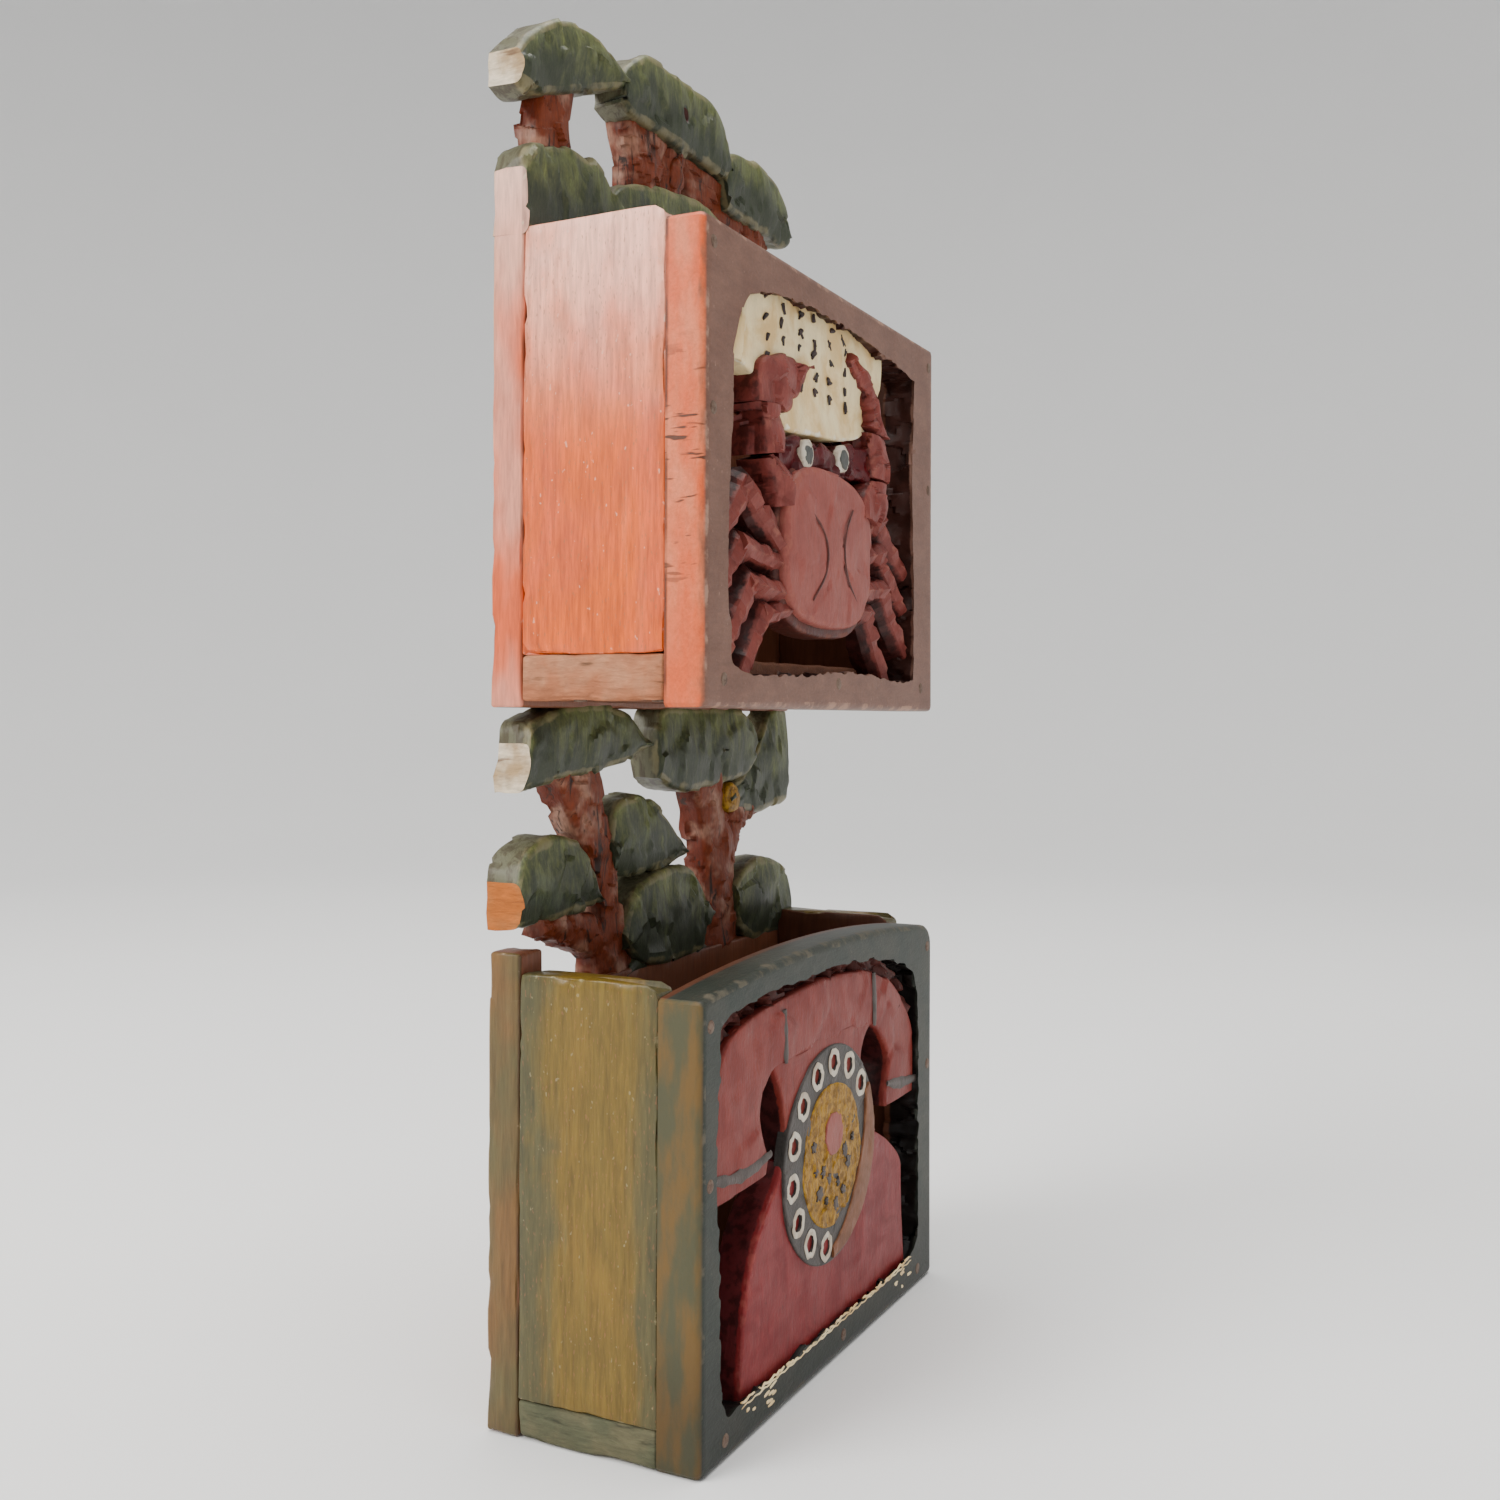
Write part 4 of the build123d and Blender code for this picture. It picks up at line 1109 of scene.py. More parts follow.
# Each leg: where it leaves the body, its knee and its tip.
LEGS = {
    "left_1": [(-34, 43), (-59, 60), (-81, 37)],
    "left_2": [(-34, 37), (-61, 41), (-83, 19)],
    "left_3": [(-33, 27), (-55, 29), (-79, 0)],
    "left_4": [(-30, 22), (-44, 20), (-64, -5)],
    "right_1": [(36, 55), (55, 61), (83, 42)],
    "right_2": [(37, 45), (56, 49), (84, 27)],
    "right_3": [(37, 33), (58, 35), (84, 11)],
    "right_4": [(31, 25), (44, 25), (67, -5)],
}
# How much of the flank colour, the legs' darker side paint and painted shade, each corner of a leg's section
# takes.
LIMB_FLANK = np.array([1.0, 1.0, 0.32, 0.0, 0.2, 1.0, 1.0])
# Each part of a claw: its outer and inner line, both drawn from the body outwards.
CLAWS = {
    "left_arm": ([(-42, 55), (-43, 63), (-48.5, 70.5)], [(-30, 57), (-32.5, 66), (-38.5, 72.8)]),
    "left_wrist": ([(-49.5, 71.5), (-51, 80), (-54.5, 87.5)], [(-39.5, 73.8), (-35, 80), (-37, 88.5)]),
    "left_pincer": ([(-55, 88), (-56, 96), (-54, 101.5), (-40, 105.5), (-28, 107.7), (-15, 108.6)],
                    [(-37, 88.6), (-33, 89.5), (-30.5, 93.5), (-26, 94), (-23.5, 98.5), (-17, 104)]),
    "right_arm": ([(48, 59), (56.4, 65), (57.8, 74.5)], [(33, 60), (34.1, 69), (41, 75.4)]),
    "right_wrist": ([(58, 75.5), (56.5, 82), (57.5, 91)], [(41.5, 76.6), (39.4, 86), (37, 92.8)]),
    "right_pincer": ([(56, 92), (50.5, 98), (49.5, 104), (47, 110), (37, 115.6), (21, 118.4)],
                     [(38, 94), (44, 97.5), (40, 99.5), (41, 102.5), (36, 103.5), (36, 107), (31, 108),
                      (30, 111), (25, 112), (20, 116.4)]),
}
CARAPACE = [(-36, 46), (-35, 30), (-24, 20), (2, 17), (26, 20), (37, 31), (40, 46), (38, 60), (25, 70),
            (2, 73), (-21, 71), (-34, 60)]
EYES = {"left": (-16.6, 76.4), "right": (14.8, 79.2)}
EYE_RADIUS = 5.1
PUPIL_RADIUS = 3.6


def dome_height(line, count):
    """The carapace's height under a path: its face plus its bow at that share of the way out."""
    p = straight(line, count) - shift((2.0, 45.0), CRAB_AT)
    return CRAB_FACE + 1.1 + 1.2 * (1 - np.clip((p[:, 0] / 38) ** 2 + (p[:, 1] / 28) ** 2, 0, 1))


def build_crab_panel():
    """The upper front panel: frame, scroll and crab."""
    outer = rectangle(UPPER_LOW[[0, 2]], UPPER_HIGH[[0, 2]], [CORNER] * 4)
    panel_frame("crab_panel_frame", "upper_front_panel", outer, shift(CRAB_OPENING, CRAB_AT),
                shift((1.0, 62.0), CRAB_AT), (9.0, 4, 0.5), "mauve_frame_paint",
                "mauve_brown_paint", seed=21)
    scroll()
    crab_shell()
    crab_legs()
    crab_claws()
    crab_eyes()


def scroll():
    """The unrolled scroll behind the crab, its rolled edge and its loose brush dabs."""
    lower = [(-74, 100), (-62, 99), (-48, 94), (-34, 86), (-26, 83), (-7, 84.6), (20, 87), (41, 93),
             (56, 112)]
    upper = [(-74, 131), (-60, 131), (-40, 131), (-10, 131), (6, 131), (20, 131), (32, 131), (44, 131),
             (56, 131)]
    carved_slab("scroll", lower, upper, *ON_UPPER, UPPER_THICK - 5.0, "cream_paint", "cream_paint",
                seed=25, rim=0.8, bow=0.6, strips=20, size=18.0, depth=0.5, back=1.5)
    roll_left = [(-76, 98), (-75.5, 106), (-72, 114), (-67, 123), (-62, 131)]
    roll_right = [(-62, 98), (-62, 104), (-61, 112), (-60, 120), (-56, 131)]
    carved_slab("scroll_roll", roll_left, roll_right, *ON_UPPER, UPPER_THICK - 3.6, "cream_paint",
                "cream_paint", seed=26, rim=3.2, bow=1.6, strips=8, size=9.0, depth=0.5, back=1.5)
    rng = np.random.default_rng(8)
    dabs = []
    for column in range(6):
        for row in range(5):
            x = -46 + column * 13.0 + rng.uniform(-1.5, 1.5)
            z = 124.0 - row * 6.2 + rng.uniform(-1.0, 1.0)
            if z > 94 + max(0, x) * 0.25 and x > -52:
                for turn in rng.uniform(0, np.pi, 2):
                    half = unit(turn) * rng.uniform(1.2, 2.3)
                    x, z = x + rng.uniform(-0.9, 0.9), z + rng.uniform(-0.9, 0.9)
                    dabs.append([(x - half[0], z - half[1]), (x, z + 0.3), (x + half[0], z + half[1])])
    strokes("scroll_dabs", dabs, 1.8, UPPER_THICK - 4.3, *ON_UPPER, "dark_paint", "mauve_brown_paint",
            rise=0.5, count=9)


def crab_shell():
    """The carapace, the darker skirt under it and the two curved lines on it."""
    skirt = (np.array(CARAPACE) - (2, 45)) * (1.06, 1.07) + (2, 43.6)
    pad_piece("crab_skirt", skirt, (2, 44), *ON_UPPER, CRAB_FACE - 2.2, "maroon_paint",
              "brick_red_paint", seed=33, rim=1.5, bow=0.6)
    pad_piece("crab_carapace", CARAPACE, (2, 45), *ON_UPPER, CRAB_FACE + 1.0,
              "brick_red_paint", "brick_red_paint", seed=34, rim=2.4, bow=1.2, rings=20, size=11.0,
              depth=0.45, count=140)
    arcs = [[(-21, 57.5), (-10, 51.5), (-5, 44), (-7, 35.5), (-16, 26)],
            [(18.5, 61), (12, 53), (9.7, 45), (13, 36), (22.5, 28)]]
    strokes("crab_shell_lines", arcs, 1.5, dome_height, *ON_UPPER, "maroon_paint",
            "brick_red_paint", rise=0.3)


def crab_legs():
    """Eight legs, each carved as two limbs that meet at the knee."""
    for k, (key, path) in enumerate(LEGS.items()):
        shape = Shape()
        body, knee, tip = shift(path, CRAB_AT)
        for j, (start, end, widths) in enumerate(((body, knee, (8.5, 10.5, 11.5)),
                                                  (knee, tip, (12.0, 11.0, 8.0)))):
            run = (end - start) / np.linalg.norm(end - start)
            grid, worn = limb([start - run * 1.5, end + run * 2.5 * (1 - j)], widths,
                              (10.5, 11.0, 11.0) if j else (10.0, 11.5, 11.5),
                              CRAB_FACE - 0.2 - 0.9 * j - 0.4 * (k % 2), seed=44 + 2 * k + j, rows=20)
            shape.grid(place(grid, UPPER_HIGH[1]), caps=(0, 0), worn=worn, flank=LIMB_FLANK)
        put(shape, f"crab_leg_{key}", "leg_red_paint", "brick_red_paint", sharp=18.0)


def crab_claws():
    """The arm, wrist and pincer of each claw."""
    for k, (key, (outer_line, inner_line)) in enumerate(CLAWS.items()):
        carved_slab(f"crab_{key}", outer_line, inner_line, *ON_UPPER, CRAB_FACE + 0.6,
                    "limb_red_paint", "brick_red_paint", seed=70 + k, count=34, rim=2.4, bow=1.4,
                    size=8.5, depth=1.9, sharp=26.0, curved=key != "right_pincer")


def crab_eyes():
    """The band across the eyes, and each eye's white and pupil."""
    band_top = [(-38, 79), (-24, 81), (-4, 81), (8, 82), (22, 86), (42, 87)]
    band_low = [(-38, 69), (-22, 68.5), (-4, 71.5), (8, 72), (22, 73), (42, 75)]
    carved_slab("crab_eye_band", band_top, band_low, *ON_UPPER, CRAB_FACE - 2.2,
                "crimson_paint", "brick_red_paint", seed=80, rim=1.4, bow=0.6, size=5.0, depth=1.4)
    for k, (side, spot) in enumerate(EYES.items()):
        pad_piece(f"crab_eye_white_{side}", circle(spot, EYE_RADIUS, 48, 0.45, k), spot, *ON_UPPER,
                  CRAB_FACE - 0.3, "white_paint", "cream_paint", seed=82 + k, rim=0.9, bow=0.2,
                  depth=0.2, count=48)
        pad_piece(f"crab_pupil_{side}", circle(spot, PUPIL_RADIUS, 40, 0.3, k + 4), spot, *ON_UPPER,
                  CRAB_FACE + 0.05, "pupil_slate_paint", "slate_green_paint", seed=84 + k, rim=0.3, bow=0.1,
                  depth=0.15, count=40)


# ---------------------------------------------------------------- the telephone pocket's front

PHONE_OPENING = [(-84, 4), (-70, 0), (-40, -1), (0, 0), (40, -1), (72, 0), (84, 4), (87, 12), (87, 60),
                 (87, 92), (83, 110), (66, 119), (40, 124), (0, 127), (-28, 126), (-60, 125),
                 (-84, 121), (-87, 108), (-89, 80), (-87, 40)]
HANDSET_TOP = [(-85, 65), (-88, 74), (-88, 88), (-85, 102), (-77, 113), (-62, 118), (-40, 120.5),
               (-11, 122), (10, 122), (30, 120.5), (44, 118), (56, 114), (66, 108.5), (75, 101.5),
               (82, 94), (85.5, 86), (86, 76), (85.5, 65)]
HANDSET_UNDER = [(-49, 66), (-48, 71), (-51.5, 77), (-53.6, 84), (-52.8, 90.5), (-50, 94), (-44, 98.5),
                 (-34, 99.5), (0, 99.5), (34, 99), (44.5, 97.4), (51, 93), (56, 88), (58.9, 82),
                 (57.6, 76.4), (55.5, 70), (55, 65)]
NECK_LEFT = [(-35, 60), (-34, 67), (-33.6, 74), (-34.6, 80), (-37, 88), (-41, 95), (-46, 102)]
NECK_RIGHT = [(37, 60), (36, 70), (35.5, 76), (33.5, 82), (32.2, 89), (36, 95.6), (46, 101)]
BODY_LEFT = [(-67, -3), (-66, 10), (-64, 24), (-61, 35), (-56, 44.5), (-47, 54), (-41, 59), (-36, 66)]
BODY_RIGHT = [(76, -3), (75, 12), (74, 30), (72.5, 41), (60.4, 51), (45, 59), (40, 63), (38, 66)]
DIAL = (2.6, 60.0)
WIDER = (1.05, 1.0)  # the dial is carved a little wider than tall
DIAL_RADIUS = 38.0
FINGER_CIRCLE = 31.8
DISC_RADIUS = 25.0
FINGER_HOLES = 10
FIRST_HOLE = 38.0  # degrees from the dial's right, turning upwards
HOLES_SPAN = 223.0  # degrees from the first hole to the last
HOLE_DEPTH = 3.0


def build_phone_panel():
    """The lower front panel: frame and dial telephone."""
    outer = rectangle(LOWER_LOW[[0, 2]], LOWER_HIGH[[0, 2]], (WORN_CORNER, CORNER, 1.0, 1.0),
                      crest=LOWER_CREST)
    panel_frame("phone_panel_frame", "lower_front_panel", outer, shift(PHONE_OPENING, PHONE_AT),
                shift((0.5, 62.0), PHONE_AT), (8.0, 6, 0.6), "slate_frame_paint",
                "slate_green_paint", seed=23)
    telephone()
    dial()
    dial_disc()
    base_line()


def telephone():
    """The body, the neck, the handset and its bands, and the groove above it, painted dark as shade."""
    carved_slab("phone_body", BODY_LEFT, BODY_RIGHT, *ON_LOWER, PHONE_FACE - 0.6,
                "body_paint", "brick_red_paint", seed=51, rim=1.2, bow=0.5, strips=30, size=14.0,
                depth=0.4)
    carved_slab("phone_neck", NECK_LEFT, NECK_RIGHT, *ON_LOWER, PHONE_FACE - 0.3,
                "handset_paint", "brick_red_paint", seed=53, rim=1.0, bow=0.2, strips=16, size=14.0,
                depth=0.3)
    # Painted shade: the groove between the frame and the handset's top is painted dark maroon.
    groove_top = shift(HANDSET_TOP[2:15], (0, 8.0))
    groove_low = shift(HANDSET_TOP[2:15], (0, -5.0))
    carved_slab("phone_top_groove", groove_top, groove_low, *ON_LOWER, PHONE_FACE - 3.5,
                "maroon_paint", "brick_red_paint", seed=54, count=150, rim=0.6, bow=0.0, strips=9,
                size=3.4, depth=2.6, sharp=20.0)
    carved_slab("phone_handset", HANDSET_TOP, HANDSET_UNDER, *ON_LOWER, PHONE_FACE,
                "handset_paint", "brick_red_paint", seed=52, count=130, rim=1.2, bow=0.3, strips=12,
                size=13.0, depth=0.45)
    ear_bands = [[(-86, 73), (-76, 71), (-62, 70.5), (-47, 72)], [(56, 73.5), (70, 71), (87, 69.5)],
                 [(-35.5, 99), (-36, 108), (-37, 117)], [(43, 98), (43, 107), (42, 118)]]
    strokes("handset_bands", ear_bands, 4.2, PHONE_FACE + 0.4, *ON_LOWER, "ring_slate_paint",
            "slate_green_paint", rise=0.5)


def dial():
    """The dial with its ten finger holes, each 3 mm deep with a smooth rim, and their rings."""
    centre = shift(DIAL, PHONE_AT)
    loop = centre + DIAL_RADIUS * unit(full_turn(300)) * WIDER
    grid, worn = pad(loop, centre, PHONE_FACE + 0.5, 0.6, 0.2, 70, back=PHONE_FACE - 3.5)
    angles = np.radians(FIRST_HOLE + np.linspace(0, HOLES_SPAN, FINGER_HOLES))
    holes = centre + FINGER_CIRCLE * unit(angles) * WIDER
    apart = np.linalg.norm(grid[..., None, [0, 2]] - holes, axis=-1).min(-1)
    top = grid[..., 1] > PHONE_FACE - 0.3
    dip = np.clip((3.3 - apart) / 1.2, 0, 1)
    dip = dip * dip * (3 - 2 * dip) * top
    grid[..., 1] += cuts(grid, 9.0, 0.25, 56) * top - HOLE_DEPTH * dip
    shape = Shape()
    # hole marks the finger holes for their painted shade.
    shape.grid(place(grid, LOWER_HIGH[1]), worn=worn * (1 - dip), hole=dip)
    put(shape, "phone_dial", "dial_paint", "slate_green_paint")
    shape = Shape()
    rack = rack_settings()
    for k, hole in enumerate(holes):
        around = circle(hole, rack.finger_ring_radius / MM, 40, 0.45, 20 + k)
        out_way = (around - hole) / np.linalg.norm(around - hole, axis=1)[:, None]
        section = np.radians(np.arange(0, 360, 45))
        flat = around[:, None] + out_way[:, None] * (np.cos(section) * rack.finger_ring_stroke / MM)[:, None]
        ring = raised(flat, PHONE_FACE + 0.7 + np.sin(section) * 0.3)
        shape.grid(place(ring, LOWER_HIGH[1]), wrap_rows=True, worn=0.3)
    put(shape, "phone_finger_rings", "white_paint", "cream_paint")


def dial_disc():
    """What lies on the dial: the ochre disc, its spot, the crescent-shaped stop and the dots."""
    pad_piece("phone_dial_disc", circle(DIAL, DISC_RADIUS, 120, 1.0, 7), DIAL, *ON_LOWER,
              PHONE_FACE + 1.0, "ochre_paint", "ochre_paint", seed=57, rim=0.4, bow=0.1, depth=0.3,
              rings=40, count=160, size=3.0)
    middle = (DIAL[0] + 0.5, DIAL[1] + 7.0)
    pad_piece("phone_dial_spot", circle(middle, 7.5, 60, 0.8, 9), middle, *ON_LOWER,
              PHONE_FACE + 1.5, "brick_red_paint", "brick_red_paint", seed=58, rim=0.3, bow=0.1,
              depth=0.15, count=60)
    arc = np.radians(np.linspace(-90, 30, 40))
    swell = np.sin(np.linspace(0.12, np.pi - 0.12, 40))
    outer_arc = np.array(DIAL) + 36.6 * unit(arc) * WIDER
    inner_arc = np.array(DIAL) + (34.0 - 9.0 * swell)[:, None] * unit(arc) * WIDER
    carved_slab("phone_finger_stop", outer_arc, inner_arc, *ON_LOWER, PHONE_FACE + 1.3,
                "stop_brown_paint", "ochre_paint", seed=59, rim=0.3, bow=0.1, size=5.0, depth=0.15,
                back=PHONE_FACE - 2.0)
    shape = Shape()
    around = [(-15, -3), (-17, 6), (-12, -11), (-6, -15), (-4, -8), (2, -18), (4, -11), (9, -15), (13, -6),
              (17, 2), (-9, -4), (10, -1)]
    for k, spot in enumerate(shift(around, DIAL)):
        loop = shift(circle(spot, 1.3 + 0.5 * (k % 3), 24, 0.9, 31 + k), PHONE_AT)
        grid, _ = pad(loop, shift(spot, PHONE_AT), PHONE_FACE + 1.45, 0.2, 0.1, 4,
                         back=PHONE_FACE)
        shape.grid(place(grid, LOWER_HIGH[1]), worn=0.0)
    put(shape, "phone_dial_dots", "ring_slate_paint", "slate_green_paint")


def base_line():
    """The broken cream line along the foot of the lower panel, and the splashes by its ends."""
    rng = np.random.default_rng(15)
    x = np.linspace(-82, 82, 90)
    ragged = np.stack([x, 0.3 + rng.uniform(-0.7, 0.6, 90) + 1.2 * (np.abs(x) / 82) ** 6], axis=1)
    starts = np.cumsum(rng.integers(3, 8, 17))
    dashes = [ragged[k:k + rng.integers(4, 9)] for k in starts[starts < 84]]
    second = np.stack([x, -0.6 + 0.3 * np.sin(x)], axis=1)
    dashes += [second[k:k + 16] for k in (6, 20, 33, 47, 60, 72)]
    strokes("phone_base_line", dashes, 1.0, LOWER_THICK - 0.25, *ON_LOWER, "cream_paint",
            "cream_paint", rise=0.4, count=40, curved=False)
    spots = [[(x, z), (x + w, z + rng.uniform(-1, 1))] for x, z, w in
             zip(np.concatenate([rng.uniform(-68, -46, 9), rng.uniform(54, 76, 7)]),
                 rng.uniform(-7.5, -2.0, 16), rng.uniform(1.5, 5.0, 16))]
    strokes("phone_base_splashes", spots, 1.5, LOWER_THICK - 0.1, *ON_LOWER, "cream_paint",
            "cream_paint", rise=0.25, count=8)


# ---------------------------------------------------------------- nails, stage and camera

def build_nails():
    """Filled nail heads, standing a little proud of the boards they were driven into.

    The corners of each CAD nail's end face are grouped, and a head is set on each group's middle.
    """
    radius = rack_settings().nail_head_radius / MM
    way = unit(full_turn(20))
    size = np.array([0, 1, 1, 0.93, 0.75, 0.4, 0])
    rise = np.array([-0.6, -0.6, 0.0, 0.16, 0.24, 0.28, 0.3])
    for floor in ("lower", "upper"):
        for group in ("front", "back", "bottom"):
            node = f"{floor}_{group}_nails"
            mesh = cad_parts[node].data
            spots = np.zeros(len(mesh.vertices) * 3)
            mesh.vertices.foreach_get("co", spots)
            spots = spots.reshape(-1, 3) / MM
            axis = {"front": 1, "back": 1, "bottom": 2}[group]
            sign = {"front": -1, "back": 1, "bottom": -1}[group]
            plane = (spots[:, axis] * sign).max()
            heads = np.delete(spots[spots[:, axis] * sign > plane - 0.05], axis, 1)
            places = np.unique(np.round(heads / 5.0) * 5.0, axis=0)
            centres = [heads[np.linalg.norm(heads - p, axis=1) < 6.0].mean(0) for p in places]
            shape = Shape()
            done = []
            for c in centres:
                if any(np.linalg.norm(c - d) < 5 for d in done):
                    continue
                done.append(c)
                flat = c + radius * size[:, None, None] * way
                high = np.broadcast_to((plane + rise[:, None]) * sign, flat.shape[:2])
                grid = np.insert(flat, axis, high, axis=2)
                shape.grid(grid, worn=0.2)
            put(shape, f"{node}_heads", "iron_nail", "iron_nail", (node,))


# The floor in metres: how far it is flat, how far and how high it sweeps up beyond that, and how
# little it lies below the rack.
FLOOR_FLAT = 1.8
SWEEP_OUT = 2.6
SWEEP_UP = 3.2
FLOOR_DROP = 0.0004

# The camera: its place and its three directions in metres, its lens in millimetres, and its shift.
CAMERA_AT = (-0.5101, -0.2568, 0.2249)
CAMERA_RIGHT = (0.44347, -0.89628, 0.00367)
CAMERA_UP = (-0.01448, -0.00307, 0.99989)
CAMERA_AHEAD = (0.89617, 0.44347, 0.01434)
LENS = 37.59
SENSOR = 36.0
SHIFT_Y = -0.0352


def build_stage():
    """Pale floor, soft studio light and the camera.

    The floor is flat and then rises all round as a quarter of an ellipse.
    """
    props = rack_settings()
    around = unit(full_turn(96))
    sweep = np.linspace(0, np.pi / 2, 24)
    reach = np.concatenate([[0.0, 0.6, 1.2], FLOOR_FLAT + SWEEP_OUT * np.sin(sweep)])
    rise = np.concatenate([[0.0, 0.0, 0.0], SWEEP_UP * (1 - np.cos(sweep))]) - FLOOR_DROP
    grid = np.dstack([reach[:, None, None] * around, np.repeat(rise[:, None], 96, axis=1)])
    index = np.arange(len(reach) * 96).reshape(-1, 96)
    index = np.hstack([index, index[:, :1]])
    faces = np.stack([index[:-1, :-1], index[:-1, 1:], index[1:, 1:], index[1:, :-1]], axis=-1)
    floor = bpy.data.meshes.new("floor")
    floor.from_pydata(grid.reshape(-1, 3).tolist(), [], faces.reshape(-1, 4).tolist())
    floor.polygons.foreach_set("use_smooth", [True] * len(floor.polygons))
    p = Paint("pale_floor", 0.7, 0.0)
    p.finish(p.mix(p.noise(300.0), (0.85, 0.85, 0.845), (0.88, 0.88, 0.875)))
    floor.materials.append(p.material)
    ground = bpy.data.objects.new("floor", floor)
    bpy.context.scene.collection.objects.link(ground)
    middle = Vector((0, 0, 0.22))
    for name, spot, size, power in (("key", (-1.5, 0.85, 1.35), 1.3, props.key_power),
                                    ("fill", (-0.9, -2.0, 1.1), 1.8, props.fill_power),
                                    ("top", (0.2, -0.2, 2.2), 1.6, props.top_power),
                                    ("backdrop", (0.0, 0.0, 3.4), 3.0, props.backdrop_power)):
        light = bpy.data.lights.new(name, "AREA")
        light.shape = "DISK"
        light.size = size
        light.energy = power
        light.color = props.light_colour
        lamp = bpy.data.objects.new(name, light)
        lamp.location = spot
        lamp.rotation_euler = (middle - Vector(spot)).to_track_quat("-Z", "Y").to_euler()
        bpy.context.scene.collection.objects.link(lamp)
    world = bpy.data.worlds.new("soft_room")
    world.use_nodes = True
    world.node_tree.nodes["Background"].inputs["Color"].default_value = (0.86, 0.88, 0.92, 1)
    world.node_tree.nodes["Background"].inputs["Strength"].default_value = props.room_light
    bpy.context.scene.world = world
    camera = bpy.data.cameras.new("camera")
    camera.lens = LENS
    camera.sensor_width = SENSOR
    camera.shift_y = SHIFT_Y
    camera.clip_start, camera.clip_end = 0.02, 50.0
    eye = bpy.data.objects.new("camera", camera)
    bpy.context.scene.collection.objects.link(eye)
    right, up, ahead = (Vector(v).normalized() for v in (CAMERA_RIGHT, CAMERA_UP, CAMERA_AHEAD))
    turn = Matrix((right, up, -ahead)).transposed().to_4x4()
    eye.matrix_world = Matrix.Translation(CAMERA_AT) @ turn
    bpy.context.scene.camera = eye


def length_setting(label, text, value):
    """A size in the settings, in metres."""
    return FloatProperty(name=label, description=text, default=value, min=0.0, unit="LENGTH")


def power_setting(label, text, value):
    """A lamp's power in the settings, in watts."""
    return FloatProperty(name=label, description=text, default=value, min=0.0, unit="POWER")


def colour_setting(label, text, value):
    """A colour in the settings."""
    return FloatVectorProperty(name=label, description=text, default=value, subtype="COLOR",
                               min=0.0, max=1.0)


class RackSettings(bpy.types.PropertyGroup):
    """Sizes, colours and light of the rack."""

    side_edge: length_setting("Side edge", "Radius of the side boards' edges", 0.0006)
    nail_head_radius: length_setting("Nail head", "Radius of a filled nail head", 0.0021)
    finger_ring_radius: length_setting("Finger ring", "Radius of a painted finger ring", 0.0039)
    finger_ring_stroke: length_setting("Ring stroke", "Half width of a finger ring's stroke", 0.00105)
    salmon: colour_setting("Salmon", "Side boards of the upper pocket, first tone", SALMON)
    orange: colour_setting("Orange", "Side boards of the upper pocket, second tone", ORANGE)
    ochre_stain: colour_setting("Ochre stain", "Side boards of the lower pocket", OCHRE_STAIN)
    inside: colour_setting("Inside", "Stain inside the pockets", INSIDE)
    mauve: colour_setting("Mauve", "Frame of the upper panel", MAUVE)
    slate: colour_setting("Slate", "Frame of the lower panel", SLATE)
    brick: colour_setting("Brick red", "Shell of the crab", BRICK)
    cream: colour_setting("Cream", "Scroll and light splashes", CREAM)
    pine: colour_setting("Pine", "Tree crowns", PINE)
    # Dark pine and pale pine are the painted shade and the painted highlight of the crowns.
    pine_dark: colour_setting("Dark pine", "Shaded parts of the crowns", PINE_DARK)
    pine_pale: colour_setting("Pale pine", "Tops of the crowns", PINE_PALE)
    bark: colour_setting("Bark", "Tree trunks", BARK)
    # The bark flank colour holds painted shade on the trunks' cut sides.
    bark_flank: colour_setting("Bark flank", "Cut sides of the trunks", BARK_FLANK)
    key_power: power_setting("Key power", "Power of the large soft light from the left", 46.0)
    fill_power: power_setting("Fill power", "Power of the weak light from the front", 3.0)
    top_power: power_setting("Top power", "Power of the light from above", 16.0)
    backdrop_power: power_setting("Backdrop power", "Power of the wide light over the floor", 105.0)
    room_light: FloatProperty(name="Room light", description="Strength of the even light from all round",
                              default=0.3, min=0.0)
    light_colour: colour_setting("Light colour", "Colour of every lamp", (1.0, 0.98, 0.95))


class RACK_OT_boards(bpy.types.Operator):
    """Mix the paints from the settings and build the side, bottom and back boards"""

    bl_idname = "rack.boards"
    bl_label = "Boards"

    def execute(self, context):
        FINISHES.clear()
        build_boards()
        return {"FINISHED"}


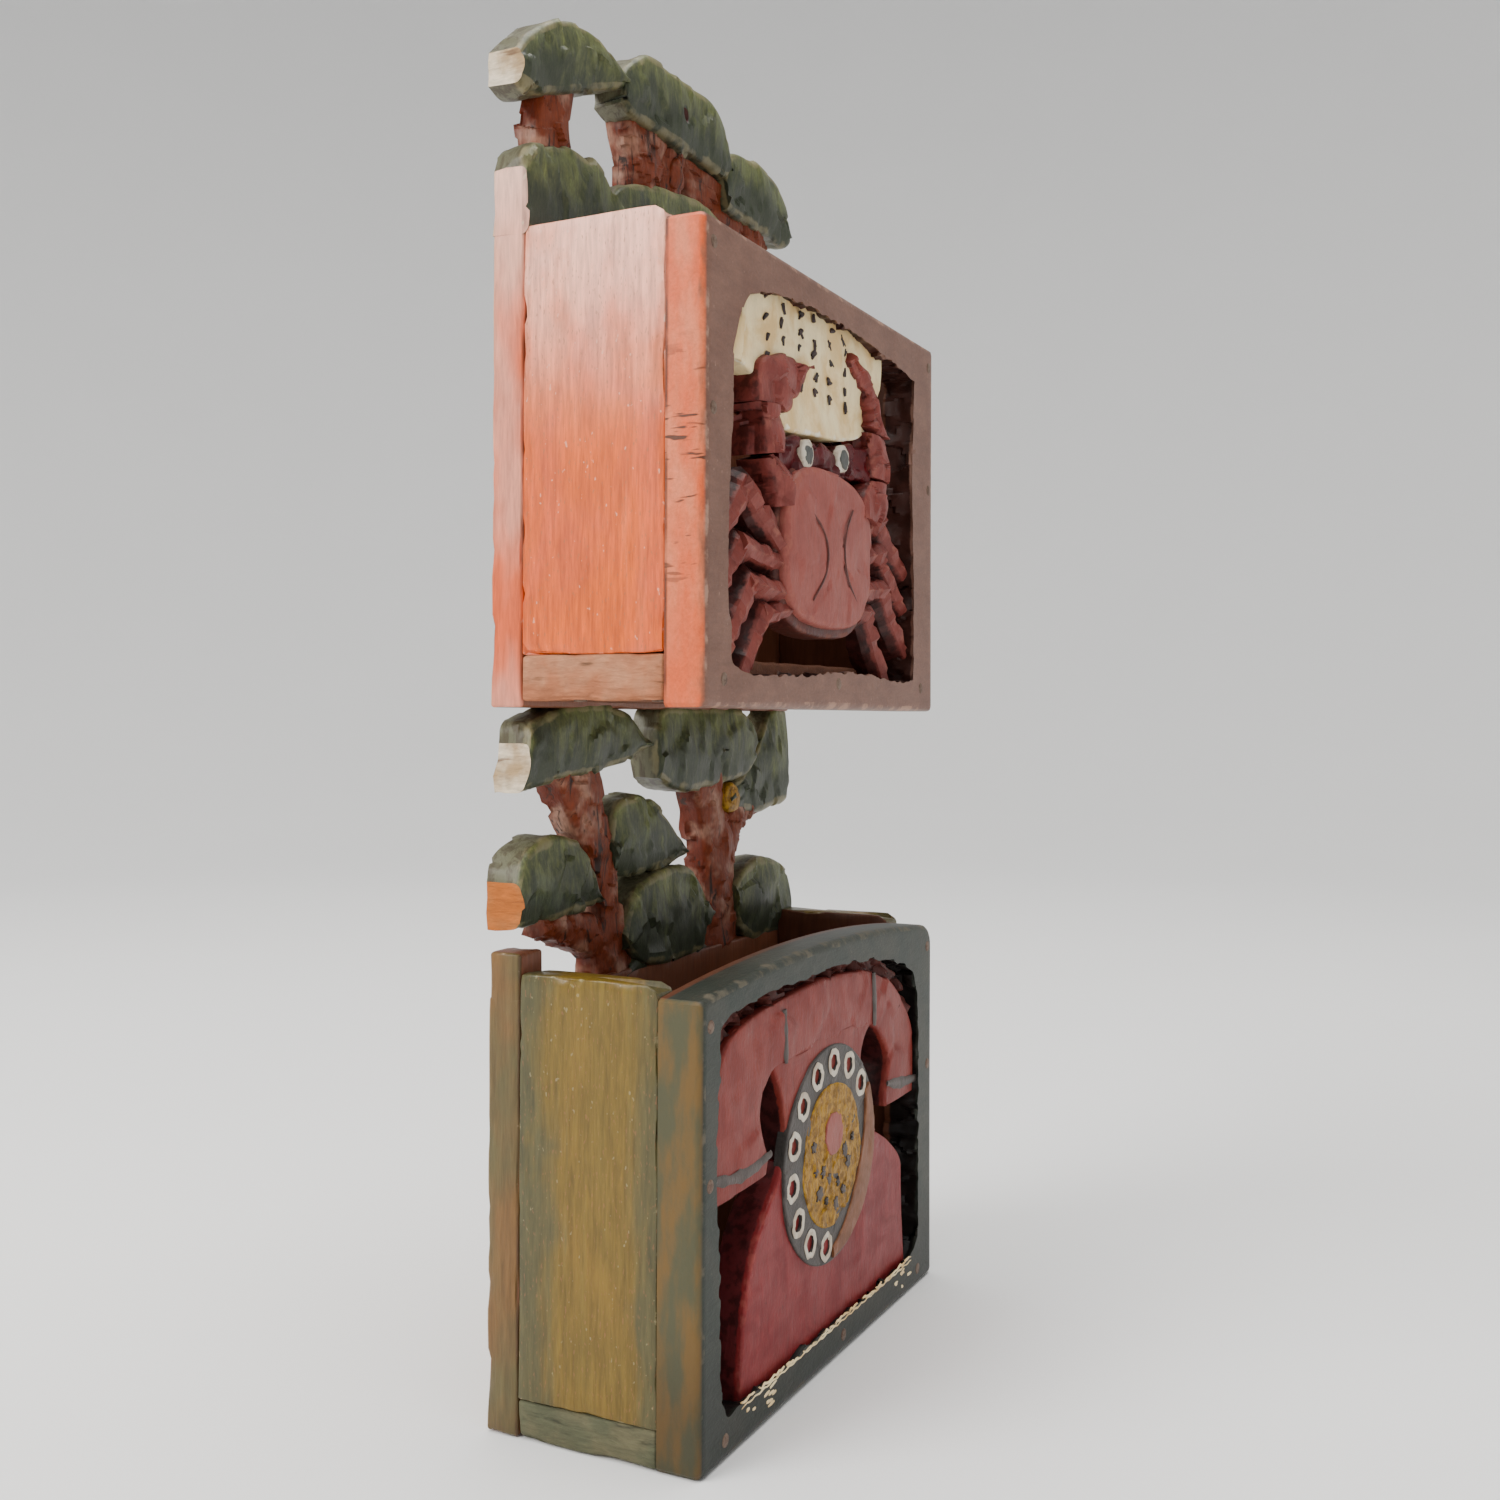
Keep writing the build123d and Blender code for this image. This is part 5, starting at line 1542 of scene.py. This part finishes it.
class RACK_OT_trees(bpy.types.Operator):
    """Build the cut-out pine trees"""

    bl_idname = "rack.trees"
    bl_label = "Pine trees"

    def execute(self, context):
        build_trees()
        return {"FINISHED"}


class RACK_OT_crab_panel(bpy.types.Operator):
    """Build the upper front panel with its crab"""

    bl_idname = "rack.crab_panel"
    bl_label = "Crab panel"

    def execute(self, context):
        build_crab_panel()
        return {"FINISHED"}


class RACK_OT_phone_panel(bpy.types.Operator):
    """Build the lower front panel with its telephone"""

    bl_idname = "rack.phone_panel"
    bl_label = "Telephone panel"

    def execute(self, context):
        build_phone_panel()
        return {"FINISHED"}


class RACK_OT_nails(bpy.types.Operator):
    """Build the nail heads"""

    bl_idname = "rack.nails"
    bl_label = "Nail heads"

    def execute(self, context):
        build_nails()
        return {"FINISHED"}


class RACK_OT_stage(bpy.types.Operator):
    """Build the floor, the lights and the camera"""

    bl_idname = "rack.stage"
    bl_label = "Stage"

    def execute(self, context):
        build_stage()
        return {"FINISHED"}


class RACK_PT_panel(bpy.types.Panel):
    """The rack's settings and build steps"""

    bl_idname = "RACK_PT_panel"
    bl_label = "Carved Letter Rack"
    bl_space_type = "VIEW_3D"
    bl_region_type = "UI"
    bl_category = "Letter Rack"

    def draw(self, context):
        for key in RackSettings.__annotations__:
            self.layout.prop(context.scene.letter_rack, key)
        for step in STEPS:
            self.layout.operator(step.bl_idname)


STEPS = (RACK_OT_boards, RACK_OT_trees, RACK_OT_crab_panel, RACK_OT_phone_panel, RACK_OT_nails,
         RACK_OT_stage)
CLASSES = (RackSettings, *STEPS, RACK_PT_panel)


def register():
    """Registers the classes and hangs the settings on the scene."""
    for cls in CLASSES:
        bpy.utils.register_class(cls)
    bpy.types.Scene.letter_rack = PointerProperty(type=RackSettings)


def unregister():
    """Undoes register()."""
    del bpy.types.Scene.letter_rack
    for cls in reversed(CLASSES):
        bpy.utils.unregister_class(cls)


def main():
    """Builds every piece."""
    register()
    bpy.ops.rack.boards()
    bpy.ops.rack.trees()
    bpy.ops.rack.crab_panel()
    bpy.ops.rack.phone_panel()
    bpy.ops.rack.nails()
    bpy.ops.rack.stage()


if __name__ == "__main__":
    main()
